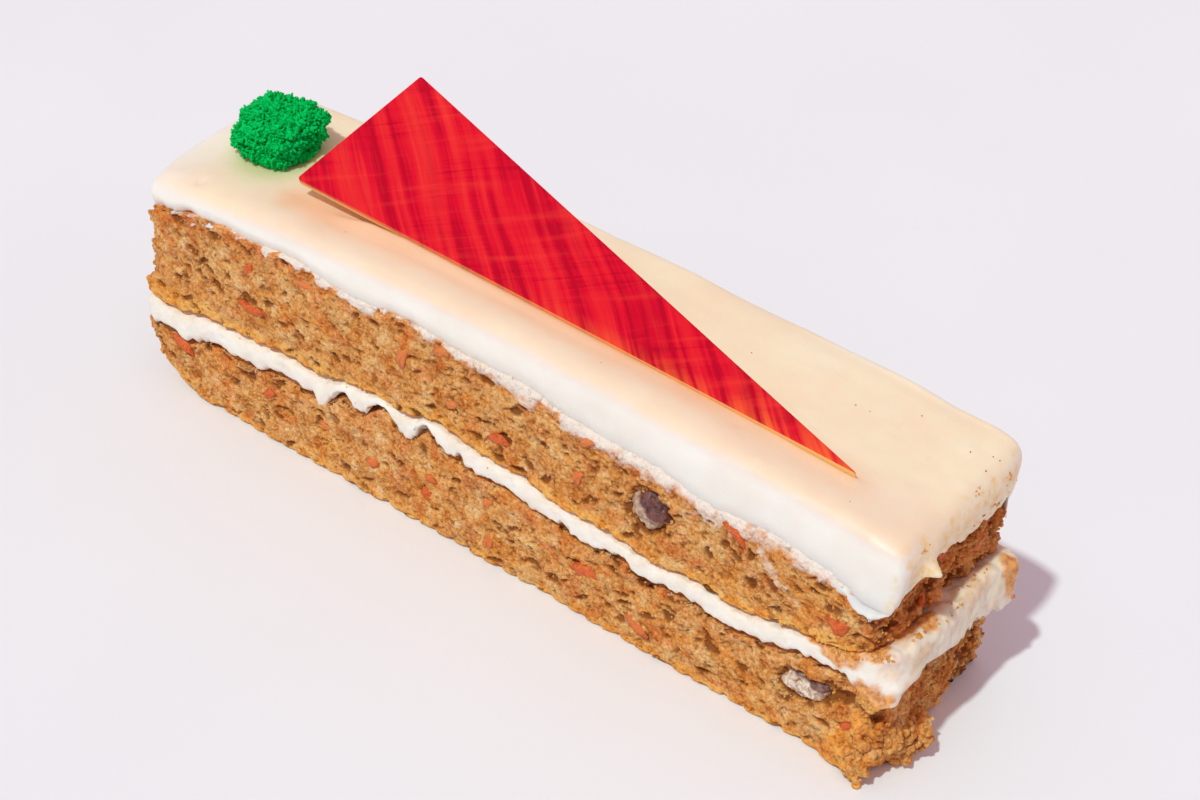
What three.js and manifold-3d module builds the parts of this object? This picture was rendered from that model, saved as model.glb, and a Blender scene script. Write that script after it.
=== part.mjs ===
// A bar-shaped slice of carrot cake: two layers of nut-and-carrot sponge with cream
// between them, a thick soft frosting on top, a red carrot-shaped plaque with a green
// tuft for its leaves, and two pieces of walnut that the knife has bared.
// Millimetres, +X along the slice, +Y across it, +Z up. It stands on Z = 0.

import * as THREE from 'three';
import { ImprovedNoise } from 'three/addons/math/ImprovedNoise.js';
import { mergeVertices } from 'three/addons/utils/BufferGeometryUtils.js';
import Module from 'manifold-3d';

const wasm = await Module();
wasm.setup();

// ---- driving dimensions ----------------------------------------------------

const SLICE_LENGTH = 125;        // the frosting, end to end
const SLICE_WIDTH = 29.6;        // the knife cuts, front to back
const CROWN_HEIGHT = 37.9;       // top of the frosting at its highest
const CROWN_X = 10;              // where along the slice it is highest
const FROSTING_EDGE_RADIUS = 3.2;
const LAYER_GAP = 0.3;           // air kept between one layer and the next

const FROSTING_BASE = 32.6;      // underside of the frosting, mid slice
const CREAM_TOP = 15.4;          // top of the cream, mid slice
const CREAM_THICKNESS = 2.9;

const PLAQUE_THICKNESS = 1.1;
const PLAQUE_CORNER_RADIUS = 0.5;
const PLAQUE_TIP = new THREE.Vector3(50.5, -7.5, 38.1);
const PLAQUE_NEAR = new THREE.Vector3(-40.6, -7.4, 39.6);
const PLAQUE_FAR = new THREE.Vector3(-38.3, 15.2, 47.0);
const POCKET_CLEARANCE = 0.3;    // round what is pressed into something softer

const TUFT_CENTRE = new THREE.Vector3(-51.1, 0.7, 38.4);
const TUFT_RADII = new THREE.Vector3(5.7, 6.0, 3.4);
const TUFT_SQUARENESS = 4;       // 2 is round, larger is boxier

const WALNUT_UPPER = { centre: [26.2, -13.0, 23.0], radii: [3.1, 2.6, 3.4], turn: 0.35 };
const WALNUT_LOWER = { centre: [51.6, -12.8, 8.9], radii: [3.9, 2.5, 2.4], turn: -0.15 };

// The lattice that every layer is laid out on: its inner lines are shared, so that two
// layers that meet are split into the same triangles.
const COLUMNS = 42;
const RANKS = 10;
const INNER_X = 57.5;            // outermost inner lines; the walls lie beyond them
const INNER_Y = 11.4;

const HALF_LENGTH = SLICE_LENGTH / 2;
const HALF_WIDTH = SLICE_WIDTH / 2;

// ---- small helpers -----------------------------------------------------------

const perlin = new ImprovedNoise();
const { clamp, smoothstep, lerp } = THREE.MathUtils;

function noise(x, y, z, size) {
  return perlin.noise(x / size + 31.7, y / size + 17.3, z / size + 5.9);
}

function hump(value, centre, spread) {
  return Math.exp(-(((value - centre) / spread) ** 2));
}

// 0 at the innermost shared line, 1 at the wall, and straight between the two.
function towardsWall(value, inner, wall) {
  return Math.max(0, (value - inner) / (wall - inner));
}

// Waves stop at the outermost inner lines, so that layers whose walls stand at
// different places still meet on straight slopes.
function waveX(x) {
  return clamp(x, -INNER_X, INNER_X);
}

function waveY(y) {
  return clamp(y, -INNER_Y, INNER_Y);
}

function toManifold(geometry) {
  const bare = geometry.clone();
  bare.deleteAttribute('normal');
  bare.deleteAttribute('uv');
  const merged = mergeVertices(bare, 1e-5);
  const mesh = new wasm.Mesh({
    numProp: 3,
    vertProperties: new Float32Array(merged.attributes.position.array),
    triVerts: new Uint32Array(merged.index.array),
  });
  return new wasm.Manifold(mesh);
}

function fromManifold(solid) {
  const mesh = solid.getMesh();
  const geometry = new THREE.BufferGeometry();
  geometry.setAttribute('position', new THREE.Float32BufferAttribute(mesh.vertProperties, 3));
  geometry.setIndex(Array.from(mesh.triVerts));
  return geometry;
}

// ---- the surfaces between the layers ------------------------------------------

// Top of the frosting: crowned along the slice, a little lower at the front left.
function frostingTop(x, y) {
  const fall = x < CROWN_X ? 3.2 : 1.6;
  const reach = (x < CROWN_X ? -HALF_LENGTH : HALF_LENGTH) - CROWN_X;
  const crown = CROWN_HEIGHT - fall * ((x - CROWN_X) / reach) ** 2;
  const lean = 0.9 * (y / HALF_WIDTH) * smoothstep(-x, 20, HALF_LENGTH);
  return crown + lean + 0.25 * noise(x, y, 0, 17);
}

// Underside of the frosting: it sags over the cut edges, most towards the right.
function frostingBase(x, y) {
  const front = towardsWall(-y, INNER_Y, HALF_WIDTH);
  const rear = towardsWall(y, INNER_Y, HALF_WIDTH);
  const leftFall = 3.6 * towardsWall(-x, 48, HALF_LENGTH);
  const frontSag = 4.1 * smoothstep(x, -6, 44) + 3.0 * hump(waveX(x), INNER_X, 3.4);
  const rearSag = 1.2 + 3.4 * smoothstep(x, 30, INNER_X) + 0.9 * Math.sin(waveX(x) / 7);
  const endSag = 1.2 * hump(waveY(y), -8.5, 3.2) + 3.2 * smoothstep(waveY(y), -9, 5) * (1 - rear);
  const rightFall = endSag * towardsWall(x, INNER_X, HALF_LENGTH);
  const ripple = 0.5 * Math.sin(waveX(x) / 3.1) * Math.max(front, rear);
  return FROSTING_BASE - leftFall - rightFall - front * frontSag - rear * rearSag + ripple;
}

// Top of the cream: a long low hump left of the middle, and a rise to the torn end,
// where it swells over the sponge.
function creamTop(x, y) {
  const longHump = 2.4 * hump(x, -8, 17);
  const leftFall = 2.3 * smoothstep(-x, 42, HALF_LENGTH);
  const rightRise = 2.4 * smoothstep(x, 44, INNER_X);
  const swell = 2.2 * towardsWall(x, INNER_X, HALF_LENGTH);
  const ripple = 0.45 * Math.sin(waveX(x) * 0.45 + y * 0.06) + 0.5 * noise(waveX(x), waveY(y), 3, 9);
  return CREAM_TOP + longHump - leftFall + rightRise + swell + ripple;
}

// Underside of the cream: it thickens to the left, and is smeared down the torn end.
function creamBase(x, y) {
  const thick = CREAM_THICKNESS + 0.9 * smoothstep(-x, 20, 45) + 0.35 * Math.sin(waveX(x) * 0.8 + 1);
  const edge = Math.max(towardsWall(-y, INNER_Y, HALF_WIDTH), towardsWall(y, INNER_Y, HALF_WIDTH));
  const drips = 0.8 * edge * Math.max(0, Math.sin(waveX(x) * 0.62 + waveY(y) * 0.2));
  const smear = 3.4 * towardsWall(x, INNER_X, HALF_LENGTH);
  return creamTop(x, y) - thick - drips - smear;
}

// Underside of the slice: flat on the table, curling up at the left end only.
function underside(x) {
  return 3.8 * towardsWall(-x, 50, HALF_LENGTH) ** 1.4;
}

// ---- the cut walls --------------------------------------------------------------

// Crumb: lumps and hollows that a knife leaves on an open sponge.
function crumb(x, y, z, depth) {
  return depth * (noise(x, y, z, 3.4) + 0.7 * noise(x, y, z, 6.3));
}

// How far a wall stands out from the plain box of the slice, layer by layer.
const WALLS = {
  lower_sponge: {
    left: (y, z) => -0.6 + 2.0 * smoothstep(z, 2, 10) + crumb(-63, y, z, 0.7),
    right: (y, z) => -1.0 + 0.8 * hump(z, 6, 3) + crumb(63, y, z, 1.7),
    side: (x, y, z) => crumb(x, y, z, 0.55),
  },
  cream_filling: {
    left: (y, z) => 2.3 + 0.3 * noise(-63, y, z, 4),
    right: (y, z) => 1.9 + 1.3 * noise(63, y, z, 5) + 0.9 * hump(y, 13, 4),
    side: (x, y, z) => 0.1 + 0.35 * noise(x, y, z, 4.5),
  },
  upper_sponge: {
    left: (y, z) => 0.2 + 2.6 * hump(z, 14, 2.2) + crumb(-63, y, z, 0.9),
    right: (y, z) => -1.9 + 0.9 * smoothstep(y, -4, 12) + crumb(63, y, z, 1.1),
    side: (x, y, z) => crumb(x, y, z, 0.55),
  },
  frosting: {
    left: (y) => 1.7 - 0.8 * smoothstep(-y, 6, HALF_WIDTH) + 0.25 * noise(-63, y, 0, 6),
    right: (y) => 0.25 * noise(63, y, 0, 6),
    side: (x, y) => 0.15 + (y > 0 ? 0.6 + 0.4 * smoothstep(x, 20, INNER_X) : 0) + 0.3 * noise(x, y, 0, 8),
  },
};

// Flakes and lumps that are pulled out of a layer round one point.
const FLAKES = {
  lower_sponge: [
    { at: [60.8, -15.0, 1.5], reach: 5.6, move: [1.5, -3.8, 0] },
    { at: [63.0, -6.5, 2.5], reach: 8.0, move: [4.6, -1.2, 0] },
    { at: [62.0, -13.0, 7.0], reach: 4.6, move: [2.4, -1.2, 0] },
    { at: [62.0, 9.0, 5.5], reach: 4.0, move: [1.4, 0.5, 0] },
    { at: [-63.0, -10.0, 7.0], reach: 3.5, move: [-0.9, -0.4, 0] },
  ],
  cream_filling: [
    { at: [63.5, -11.5, 12.0], reach: 4.2, move: [1.6, -0.6, -1.4] },
    { at: [64.0, 14.0, 12.0], reach: 4.0, move: [1.2, 0.8, -0.5] },
  ],
  upper_sponge: [
    { at: [-62.0, -14.5, 27.5], reach: 2.6, move: [-1.6, -0.2, 0.4] },
    { at: [60.5, 9.0, 22.0], reach: 3.2, move: [1.5, 0, -0.5] },
  ],
  frosting: [
    { at: [62.5, -9.0, 31.0], reach: 3.0, move: [1.5, -0.3, 0] },
    { at: [62.5, 14.5, 31.0], reach: 4.0, move: [-0.8, -0.6, 0] },
  ],
};

function pulled(point, flakes) {
  const shift = new THREE.Vector3();
  for (const flake of flakes) {
    const distance = point.distanceTo(new THREE.Vector3(...flake.at));
    const share = (1 - smoothstep(distance, 0, flake.reach));
    shift.addScaledVector(new THREE.Vector3(...flake.move), share);
  }
  return point.add(shift);
}

// ---- the layers -------------------------------------------------------------------

// A closed box of lattice points. place(i, j, k) gives the point of each one on its
// surface; the top and the bottom are split along the same diagonals.
function latticeSolid(columns, ranks, rows, place) {
  const numbers = new Map();
  const positions = [];
  const triangles = [];
  const point = (i, j, k) => {
    const key = `${i} ${j} ${k}`;
    if (!numbers.has(key)) {
      numbers.set(key, numbers.size);
      positions.push(...place(i, j, k).toArray());
    }
    return numbers.get(key);
  };
  const quad = (a, b, c, d) => triangles.push(a, b, c, a, c, d);
  for (let i = 0; i < columns; i += 1) {
    for (let j = 0; j < ranks; j += 1) {
      quad(point(i, j, rows), point(i + 1, j, rows), point(i + 1, j + 1, rows), point(i, j + 1, rows));
      quad(point(i, j, 0), point(i, j + 1, 0), point(i + 1, j + 1, 0), point(i + 1, j, 0));
    }
    for (let k = 0; k < rows; k += 1) {
      quad(point(i, 0, k), point(i + 1, 0, k), point(i + 1, 0, k + 1), point(i, 0, k + 1));
      quad(point(i + 1, ranks, k), point(i, ranks, k), point(i, ranks, k + 1), point(i + 1, ranks, k + 1));
    }
  }
  for (let j = 0; j < ranks; j += 1) {
    for (let k = 0; k < rows; k += 1) {
      quad(point(0, j + 1, k), point(0, j, k), point(0, j, k + 1), point(0, j + 1, k + 1));
      quad(point(columns, j, k), point(columns, j + 1, k), point(columns, j + 1, k + 1), point(columns, j, k + 1));
    }
  }
  const geometry = new THREE.BufferGeometry();
  geometry.setAttribute('position', new THREE.Float32BufferAttribute(positions, 3));
  geometry.setIndex(triangles);
  return geometry;
}

// Lattice line number to a place along one axis: -1 and +1 stand for the two walls.
function linePlace(line, lines, inner) {
  if (line === 0) return { wall: -1, value: -inner };
  if (line === lines) return { wall: 1, value: inner };
  return { wall: 0, value: lerp(-inner, inner, (line - 1) / (lines - 2)) };
}

// One point of a layer, between its floor and its roof, at the share w of the height.
function layerPoint(i, j, w, layer) {
  const along = linePlace(i, COLUMNS, INNER_X);
  const across = linePlace(j, RANKS, INNER_Y);
  const walls = WALLS[layer.name];
  let x = along.wall === 0 ? along.value : along.wall * HALF_LENGTH;
  let y = across.wall === 0 ? across.value : across.wall * HALF_WIDTH;
  const height = lerp(layer.floor(x, y), layer.roof(x, y), w);
  const plan = new THREE.Vector2(x, y);
  if (along.wall < 0) x -= walls.left(plan.y, height);
  if (along.wall > 0) x += walls.right(plan.y, height);
  if (across.wall !== 0) y += across.wall * walls.side(plan.x, plan.y, height);
  if (along.wall !== 0 && across.wall !== 0) {
    x -= along.wall * layer.cornerCut;
    y -= across.wall * layer.cornerCut;
  }
  const z = lerp(layer.floor(x, y), layer.roof(x, y), w);
  return { point: new THREE.Vector3(x, y, z), along, across };
}

function layerSolid(layer) {
  return latticeSolid(COLUMNS, RANKS, layer.rows, (i, j, k) => {
    const { point, along, across } = layerPoint(i, j, k / layer.rows, layer);
    const open = (k > 0 || layer.standsOnTable) && k < layer.rows;
    const onWall = along.wall !== 0 || across.wall !== 0;
    return open && onWall ? pulled(point, FLAKES[layer.name]) : point;
  });
}

// The frosting's walls end in a round edge, whose arc the upper rows follow.
function frostingSolid(layer) {
  const arcStart = 2;
  return latticeSolid(COLUMNS, RANKS, layer.rows, (i, j, k) => {
    const { point, along, across } = layerPoint(i, j, 1, layer);
    const floor = layer.floor(point.x, point.y);
    if (along.wall === 0 && across.wall === 0) {
      point.z = k === 0 ? floor : layer.roof(point.x, point.y);
      return point;
    }
    const shoulder = layer.roof(point.x, point.y) - FROSTING_EDGE_RADIUS;
    if (k <= arcStart) {
      point.z = lerp(floor, shoulder, k / arcStart);
      return k > 0 ? pulled(point, FLAKES[layer.name]) : point;
    }
    const angle = ((k - arcStart) / (layer.rows - arcStart)) * THREE.MathUtils.degToRad(74);
    const inset = FROSTING_EDGE_RADIUS * 0.85 * (1 - Math.cos(angle));
    point.x -= along.wall * inset;
    point.y -= across.wall * inset;
    point.z = shoulder + FROSTING_EDGE_RADIUS * Math.sin(angle);
    return point;
  });
}

// ---- the plaque ---------------------------------------------------------------------

// A flat triangle with lightly rounded corners, its top face through the three corners.
function plaqueSolid(grow) {
  const corners = [PLAQUE_TIP, PLAQUE_NEAR, PLAQUE_FAR];
  const lengthwise = PLAQUE_NEAR.clone().sub(PLAQUE_TIP).normalize();
  const towardsFar = PLAQUE_FAR.clone().sub(PLAQUE_TIP);
  const upwards = towardsFar.clone().cross(lengthwise).normalize();
  const sideways = upwards.clone().cross(lengthwise);
  const flat = corners.map((corner) => {
    const offset = corner.clone().sub(PLAQUE_TIP);
    return new THREE.Vector2(offset.dot(lengthwise), offset.dot(sideways));
  });
  const shape = new THREE.Shape();
  flat.forEach((corner, n) => {
    const before = flat[(n + 2) % 3].clone().sub(corner).normalize();
    const after = flat[(n + 1) % 3].clone().sub(corner).normalize();
    const outward = before.clone().add(after).normalize().negate();
    const tip = corner.clone().addScaledVector(outward, grow * 1.6);
    const start = tip.clone().addScaledVector(before, PLAQUE_CORNER_RADIUS);
    const end = tip.clone().addScaledVector(after, PLAQUE_CORNER_RADIUS);
    if (n === 0) shape.moveTo(start.x, start.y);
    else shape.lineTo(start.x, start.y);
    shape.quadraticCurveTo(tip.x, tip.y, end.x, end.y);
  });
  shape.closePath();
  const depth = PLAQUE_THICKNESS + 2 * grow;
  const geometry = new THREE.ExtrudeGeometry(shape, { depth, bevelEnabled: false, curveSegments: 4 });
  geometry.translate(0, 0, grow - depth);
  const place = new THREE.Matrix4().makeBasis(lengthwise, sideways, upwards);
  place.setPosition(PLAQUE_TIP);
  geometry.applyMatrix4(place);
  return geometry;
}

// ---- the tuft -------------------------------------------------------------------------

// A squarish cushion of green crumbs, flat where it sits on the frosting.
function tuftSolid() {
  const geometry = mergedSphere(6);
  const positions = geometry.attributes.position;
  const point = new THREE.Vector3();
  for (let n = 0; n < positions.count; n += 1) {
    point.fromBufferAttribute(positions, n);
    const powers = point.toArray().map((side) => Math.abs(side) ** TUFT_SQUARENESS);
    const square = (powers[0] + powers[1] + powers[2]) ** (-1 / TUFT_SQUARENESS);
    const bumps = 1 + 0.17 * noise(point.x, point.y, point.z, 0.24) + 0.1 * noise(point.x, point.y, point.z, 0.7);
    point.multiplyScalar(square * bumps).multiply(TUFT_RADII).add(TUFT_CENTRE);
    const seat = frostingTop(point.x, point.y) + LAYER_GAP;
    point.z = Math.max(point.z, seat);
    positions.setXYZ(n, point.x, point.y, point.z);
  }
  return geometry;
}

function mergedSphere(detail) {
  const sphere = new THREE.IcosahedronGeometry(1, detail);
  sphere.deleteAttribute('normal');
  sphere.deleteAttribute('uv');
  return mergeVertices(sphere, 1e-5);
}

// ---- the walnuts ----------------------------------------------------------------------

// A knobbly lump with the fold of a walnut half down its middle.
function walnutSolid({ centre, radii, turn }, grow) {
  const geometry = mergedSphere(2);
  const positions = geometry.attributes.position;
  const point = new THREE.Vector3();
  const upright = new THREE.Vector3(0, 1, 0);
  for (let n = 0; n < positions.count; n += 1) {
    point.fromBufferAttribute(positions, n);
    const fold = 1 - 0.16 * hump(point.x, 0, 0.22) * Math.max(0, -point.y);
    const knobs = 1 + 0.22 * noise(point.x, point.y, point.z, 0.75);
    point.multiplyScalar(fold * knobs);
    point.set(point.x * radii[0], point.y * radii[1], point.z * radii[2]);
    point.setLength(point.length() + grow);
    point.applyAxisAngle(upright, turn).add(new THREE.Vector3(...centre));
    positions.setXYZ(n, point.x, point.y, point.z);
  }
  return geometry;
}

// ---- assembly --------------------------------------------------------------------------

const LAYERS = {
  lower_sponge: {
    name: 'lower_sponge', rows: 5, cornerCut: 0.7, standsOnTable: true,
    floor: (x) => underside(x),
    roof: (x, y) => creamBase(x, y) - LAYER_GAP,
  },
  cream_filling: {
    name: 'cream_filling', rows: 2, cornerCut: 0.5,
    floor: creamBase,
    roof: creamTop,
  },
  upper_sponge: {
    name: 'upper_sponge', rows: 7, cornerCut: 0.7,
    floor: (x, y) => creamTop(x, y) + LAYER_GAP,
    roof: (x, y) => frostingBase(x, y) - LAYER_GAP,
  },
  frosting: {
    name: 'frosting', rows: 4, cornerCut: 0.7,
    floor: frostingBase,
    roof: frostingTop,
  },
};

const FINISHES = {
  lower_sponge: { color: 0xb98a4e, roughness: 0.95 },
  cream_filling: { color: 0xf4efe4, roughness: 0.5 },
  upper_sponge: { color: 0xbd8f54, roughness: 0.95 },
  frosting: { color: 0xfbe4c8, roughness: 0.25 },
  carrot_plaque: { color: 0xe01f2c, roughness: 0.35 },
  green_tuft: { color: 0x06a34a, roughness: 0.9 },
  walnut_upper: { color: 0x5a4356, roughness: 0.6 },
  walnut_lower: { color: 0xb9aaa6, roughness: 0.6 },
};

const cake = new THREE.Group();

function addPiece(name, geometry) {
  const mesh = new THREE.Mesh(geometry, new THREE.MeshStandardMaterial({ metalness: 0, ...FINISHES[name] }));
  mesh.name = name;
  cake.add(mesh);
}

function cutBy(geometry, tool) {
  return fromManifold(toManifold(geometry).subtract(toManifold(tool)));
}

const lowerSponge = cutBy(layerSolid(LAYERS.lower_sponge), walnutSolid(WALNUT_LOWER, POCKET_CLEARANCE));
const upperSponge = cutBy(layerSolid(LAYERS.upper_sponge), walnutSolid(WALNUT_UPPER, POCKET_CLEARANCE));
const frosting = cutBy(frostingSolid(LAYERS.frosting), plaqueSolid(POCKET_CLEARANCE));

addPiece('lower_sponge', lowerSponge);
addPiece('cream_filling', layerSolid(LAYERS.cream_filling));
addPiece('upper_sponge', upperSponge);
addPiece('frosting', frosting);
addPiece('carrot_plaque', plaqueSolid(0));
addPiece('green_tuft', tuftSolid());
addPiece('walnut_upper', walnutSolid(WALNUT_UPPER, 0));
addPiece('walnut_lower', walnutSolid(WALNUT_LOWER, 0));

// The origin is the middle of the footprint, on the table.
const box = new THREE.Box3().setFromObject(cake);
const middle = box.getCenter(new THREE.Vector3());
cake.position.set(-middle.x, -middle.y, -box.min.z);

export default cake;
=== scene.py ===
"""Looks for a bar-shaped slice of carrot cake.

Two layers of nut-and-carrot sponge, cream between them, a soft frosting, a red
plaque shaped like a carrot and a green tuft for its leaves.

Places are in millimetres from the middle of the slice: x runs along it towards
the torn end, y across it away from the front cut, z up from the table.
"""

import itertools
import math
from contextlib import contextmanager

import bpy
import numpy as np
from mathutils import Matrix, Vector
from mathutils.bvhtree import BVHTree
from mathutils.kdtree import KDTree


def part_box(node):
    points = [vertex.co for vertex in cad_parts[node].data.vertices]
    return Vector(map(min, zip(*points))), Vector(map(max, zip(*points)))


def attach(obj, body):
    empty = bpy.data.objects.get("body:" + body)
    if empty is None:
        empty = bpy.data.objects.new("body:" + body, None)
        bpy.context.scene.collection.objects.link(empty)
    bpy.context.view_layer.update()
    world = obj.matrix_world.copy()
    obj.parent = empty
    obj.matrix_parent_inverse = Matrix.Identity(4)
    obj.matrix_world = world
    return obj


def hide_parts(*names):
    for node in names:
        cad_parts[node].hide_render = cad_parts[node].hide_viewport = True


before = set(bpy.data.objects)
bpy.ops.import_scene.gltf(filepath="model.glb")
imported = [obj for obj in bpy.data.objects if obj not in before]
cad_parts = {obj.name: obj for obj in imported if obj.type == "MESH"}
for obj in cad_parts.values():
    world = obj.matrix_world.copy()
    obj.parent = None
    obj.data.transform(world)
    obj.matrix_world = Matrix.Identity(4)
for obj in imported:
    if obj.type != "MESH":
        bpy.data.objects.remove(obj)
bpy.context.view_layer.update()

MM = 0.001
SLICE_MIDDLE = np.array((-0.736, 0.735, 0.0))  # of the slice, in the part's frame

# ---- the slice ----

HALF_LENGTH = 62.5
HALF_WIDTH = 14.8
INNER_X = 58.5  # a wall's faces lie outside these
INNER_Y = 13.3
FRONT_Y = -12  # what belongs to the front cut lies before this
TABLE_GAP = 0.02  # the least height of anything above the table

# Voxel sizes of the pieces that are remeshed
FROSTING_VOXEL = 0.42
TUFT_VOXEL = 0.22
NUT_VOXEL = 0.14

PLAQUE_TIP = Vector((50.5, -7.5, 38.1))
PLAQUE_NEAR = Vector((-40.6, -7.4, 39.6))
PLAQUE_FAR = Vector((-38.3, 15.2, 47.0))
PLAQUE_THICKNESS = 1.1
PLAQUE_BEVEL = 0.14
POCKET_CLEARANCE = 0.3

TUFT_MIDDLE = (-51.1, 0.7, 38.4)
TUFT_WIDTH = 0.89  # of the solid's, for the tuft's body, since its grains stand out all round
TUFT_HEIGHT = 1.14

UPPER_NUT = (26.2, -13.0, 23.0)
LOWER_NUT = (51.6, -12.8, 8.9)

NUT_REACH = 5.0  # the walls of a nut's pocket lie this near to the nut's middle

LUMP_MIDDLE = (61.5, -15.5, 3.0)  # the torn lump at the lower layer's right front corner
LUMP_REACH = (4.2, 4.2, 6.5)


# ---- places and pieces ----


def metres(place):
    """A place on the slice, in the part's frame."""
    return Vector((np.asarray(place, float) + SLICE_MIDDLE) * MM)


def let_go():
    bpy.ops.object.select_all(action="DESELECT")


def take_up(piece):
    let_go()
    piece.select_set(True)
    bpy.context.view_layer.objects.active = piece


def choose_all():
    bpy.ops.mesh.select_all(action="SELECT")


@contextmanager
def editing(piece, choose_by=None):
    """Edit mode on this piece, choosing by VERT, EDGE or FACE where one is named."""
    take_up(piece)
    bpy.ops.object.mode_set(mode="EDIT")
    if choose_by:
        bpy.ops.mesh.select_mode(type=choose_by)
    yield
    bpy.ops.object.mode_set(mode="OBJECT")


def in_scene(name, data):
    """Puts a new object with this mesh, light or lens into the scene."""
    thing = bpy.data.objects.new(name, data)
    bpy.context.scene.collection.objects.link(thing)
    return thing


def read_vectors(collection, label):
    flat = np.empty(len(collection) * 3)
    collection.foreach_get(label, flat)
    return flat.reshape(-1, 3)


def read_points(piece):
    return read_vectors(piece.data.vertices, "co") / MM - SLICE_MIDDLE


def write_points(piece, points):
    piece.data.vertices.foreach_set("co", ((points + SLICE_MIDDLE) * MM).ravel())
    piece.data.update()


def surface_of(piece):
    """Place and outward direction of each point."""
    return read_points(piece), read_vectors(piece.data.vertices, "normal")


def faces_of(piece):
    """Middle and outward direction of each face."""
    faces = piece.data.polygons
    return read_vectors(faces, "center") / MM - SLICE_MIDDLE, read_vectors(faces, "normal")


def choose_faces(piece, chosen):
    """Selects these faces and nothing else."""
    mesh = piece.data
    mesh.vertices.foreach_set("select", np.zeros(len(mesh.vertices), bool))
    mesh.edges.foreach_set("select", np.zeros(len(mesh.edges), bool))
    mesh.polygons.foreach_set("select", chosen)
    with editing(piece, "FACE"):
        pass


def chosen_points(piece):
    flags = np.empty(len(piece.data.vertices), bool)
    piece.data.vertices.foreach_get("select", flags)
    return flags


def store(piece, name, values, where=None):
    """Keeps one number for each point, for the finish to read: these values at the
    points that are named, and nothing elsewhere."""
    if where is not None:
        everywhere = np.zeros(len(piece.data.vertices))
        everywhere[where] = values
        values = everywhere
    attribute = piece.data.attributes.new(name, "FLOAT", "POINT")
    attribute.data.foreach_set("value", np.asarray(values, np.float32))


def copy_of_solid(node, name):
    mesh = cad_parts[node].data.copy()
    mesh.name = name
    mesh.materials.clear()
    piece = in_scene(name, mesh)
    take_up(piece)
    bpy.ops.mesh.customdata_custom_splitnormals_clear()
    with editing(piece):
        choose_all()
        bpy.ops.mesh.remove_doubles(threshold=0.002 * MM)
    return piece


def cut_out_and_close(piece, chosen):
    """Takes these faces away and closes the opening that they leave."""
    choose_faces(piece, chosen)
    with editing(piece):
        bpy.ops.mesh.delete(type="FACE")
        bpy.ops.mesh.select_mode(type="EDGE")
        bpy.ops.mesh.select_non_manifold(extend=False)
        bpy.ops.mesh.fill()
        choose_all()
        bpy.ops.mesh.normals_make_consistent(inside=False)


def subdivide(piece, chosen, cuts):
    choose_faces(piece, chosen)
    with editing(piece):
        bpy.ops.mesh.subdivide(number_cuts=cuts)


def remesh(piece, voxel):
    take_up(piece)
    modifier = piece.modifiers.new("remesh", "REMESH")
    modifier.mode = "VOXEL"
    modifier.voxel_size = voxel * MM
    bpy.ops.object.modifier_apply(modifier=modifier.name)


def smooth_points(piece, times):
    """Evens out the chosen points."""
    with editing(piece, "VERT"):
        bpy.ops.mesh.vertices_smooth(factor=0.5, repeat=times)


def tree_of(piece):
    mesh = piece.data
    return BVHTree.FromPolygons([v.co for v in mesh.vertices], [p.vertices for p in mesh.polygons])


def dress(piece, finish, slot, *nodes, crisp=False):
    """Finishes a piece: smooth shading, its material, its body and what it stands for."""
    take_up(piece)
    if crisp:
        bpy.ops.object.shade_smooth_by_angle(angle=math.radians(20))
    else:
        bpy.ops.object.shade_smooth()
    piece.data.materials.clear()
    piece.data.materials.append(finish)
    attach(piece, "root")
    if nodes:
        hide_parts(*nodes)
    let_go()


# ---- lumps, grains and hollows ----


def lot(cells, seed):
    """The same random number from 0 to 1 each time for a whole-numbered cell."""
    x, y, z = (cells[..., n].astype(np.int64) for n in range(3))
    mixed = (x * 73856093) ^ (y * 19349663) ^ (z * 83492791) ^ (seed * 40503 + 977)
    mixed = ((mixed ^ (mixed >> 15)) * 2246822519) & 0xFFFFFFFF
    mixed = ((mixed ^ (mixed >> 13)) * 3266489917) & 0xFFFFFFFF
    return ((mixed ^ (mixed >> 16)) & 0xFFFFFF) / 0xFFFFFF


def soft_noise(points, size, seed=0):
    """Smooth noise from -1 to 1, in lumps of about this size."""
    scaled = points / np.asarray(size, float)
    base = np.floor(scaled)
    part = scaled - base
    part = part * part * (3 - 2 * part)
    total = np.zeros(len(points))
    for corner in itertools.product((0, 1), repeat=3):
        weight = np.prod(np.where(np.array(corner), part, 1 - part), axis=-1)
        total += weight * lot(base + np.array(corner), seed)
    return total * 2 - 1


def from_grain(points, size, seed=0):
    """How far each point is from its nearest grain's middle, in grain sizes."""
    scaled = points / np.asarray(size, float)
    base = np.floor(scaled)
    nearest = np.full(len(points), 9.0)
    for corner in itertools.product((-1, 0, 1), repeat=3):
        cell = base + np.array(corner)
        middle = cell + np.stack([lot(cell, seed + n) for n in range(3)], axis=-1)
        nearest = np.minimum(nearest, np.linalg.norm(scaled - middle, axis=-1))
    return nearest


def bent(points, size, reach, seed):
    """The places pushed about, so that what is drawn on them loses its round shape."""
    return points + reach * np.stack([soft_noise(points, size, seed + 13 * n) for n in range(3)], axis=-1)


def rise(values, low, high):
    """0 below low, 1 above high, and a soft step between."""
    share = np.clip((values - low) / (high - low), 0, 1)
    return share * share * (3 - 2 * share)


def bump_at(values, middle, spread):
    return np.exp(-(((values - middle) / spread) ** 2))


def away_from(points, place, half=1.0):
    """How far each point is from a place, in these half sizes."""
    return np.linalg.norm((points - np.array(place)) / half, axis=-1)


def distance_to_line(flat, start, end):
    """How far each place on a plan is from the line between two others."""
    start, end = np.array(start), np.array(end)
    run = end - start
    offset = flat - start
    along = np.clip(offset @ run / (run @ run), 0, 1)
    return np.linalg.norm(offset - along[:, None] * run, axis=-1)


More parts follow.
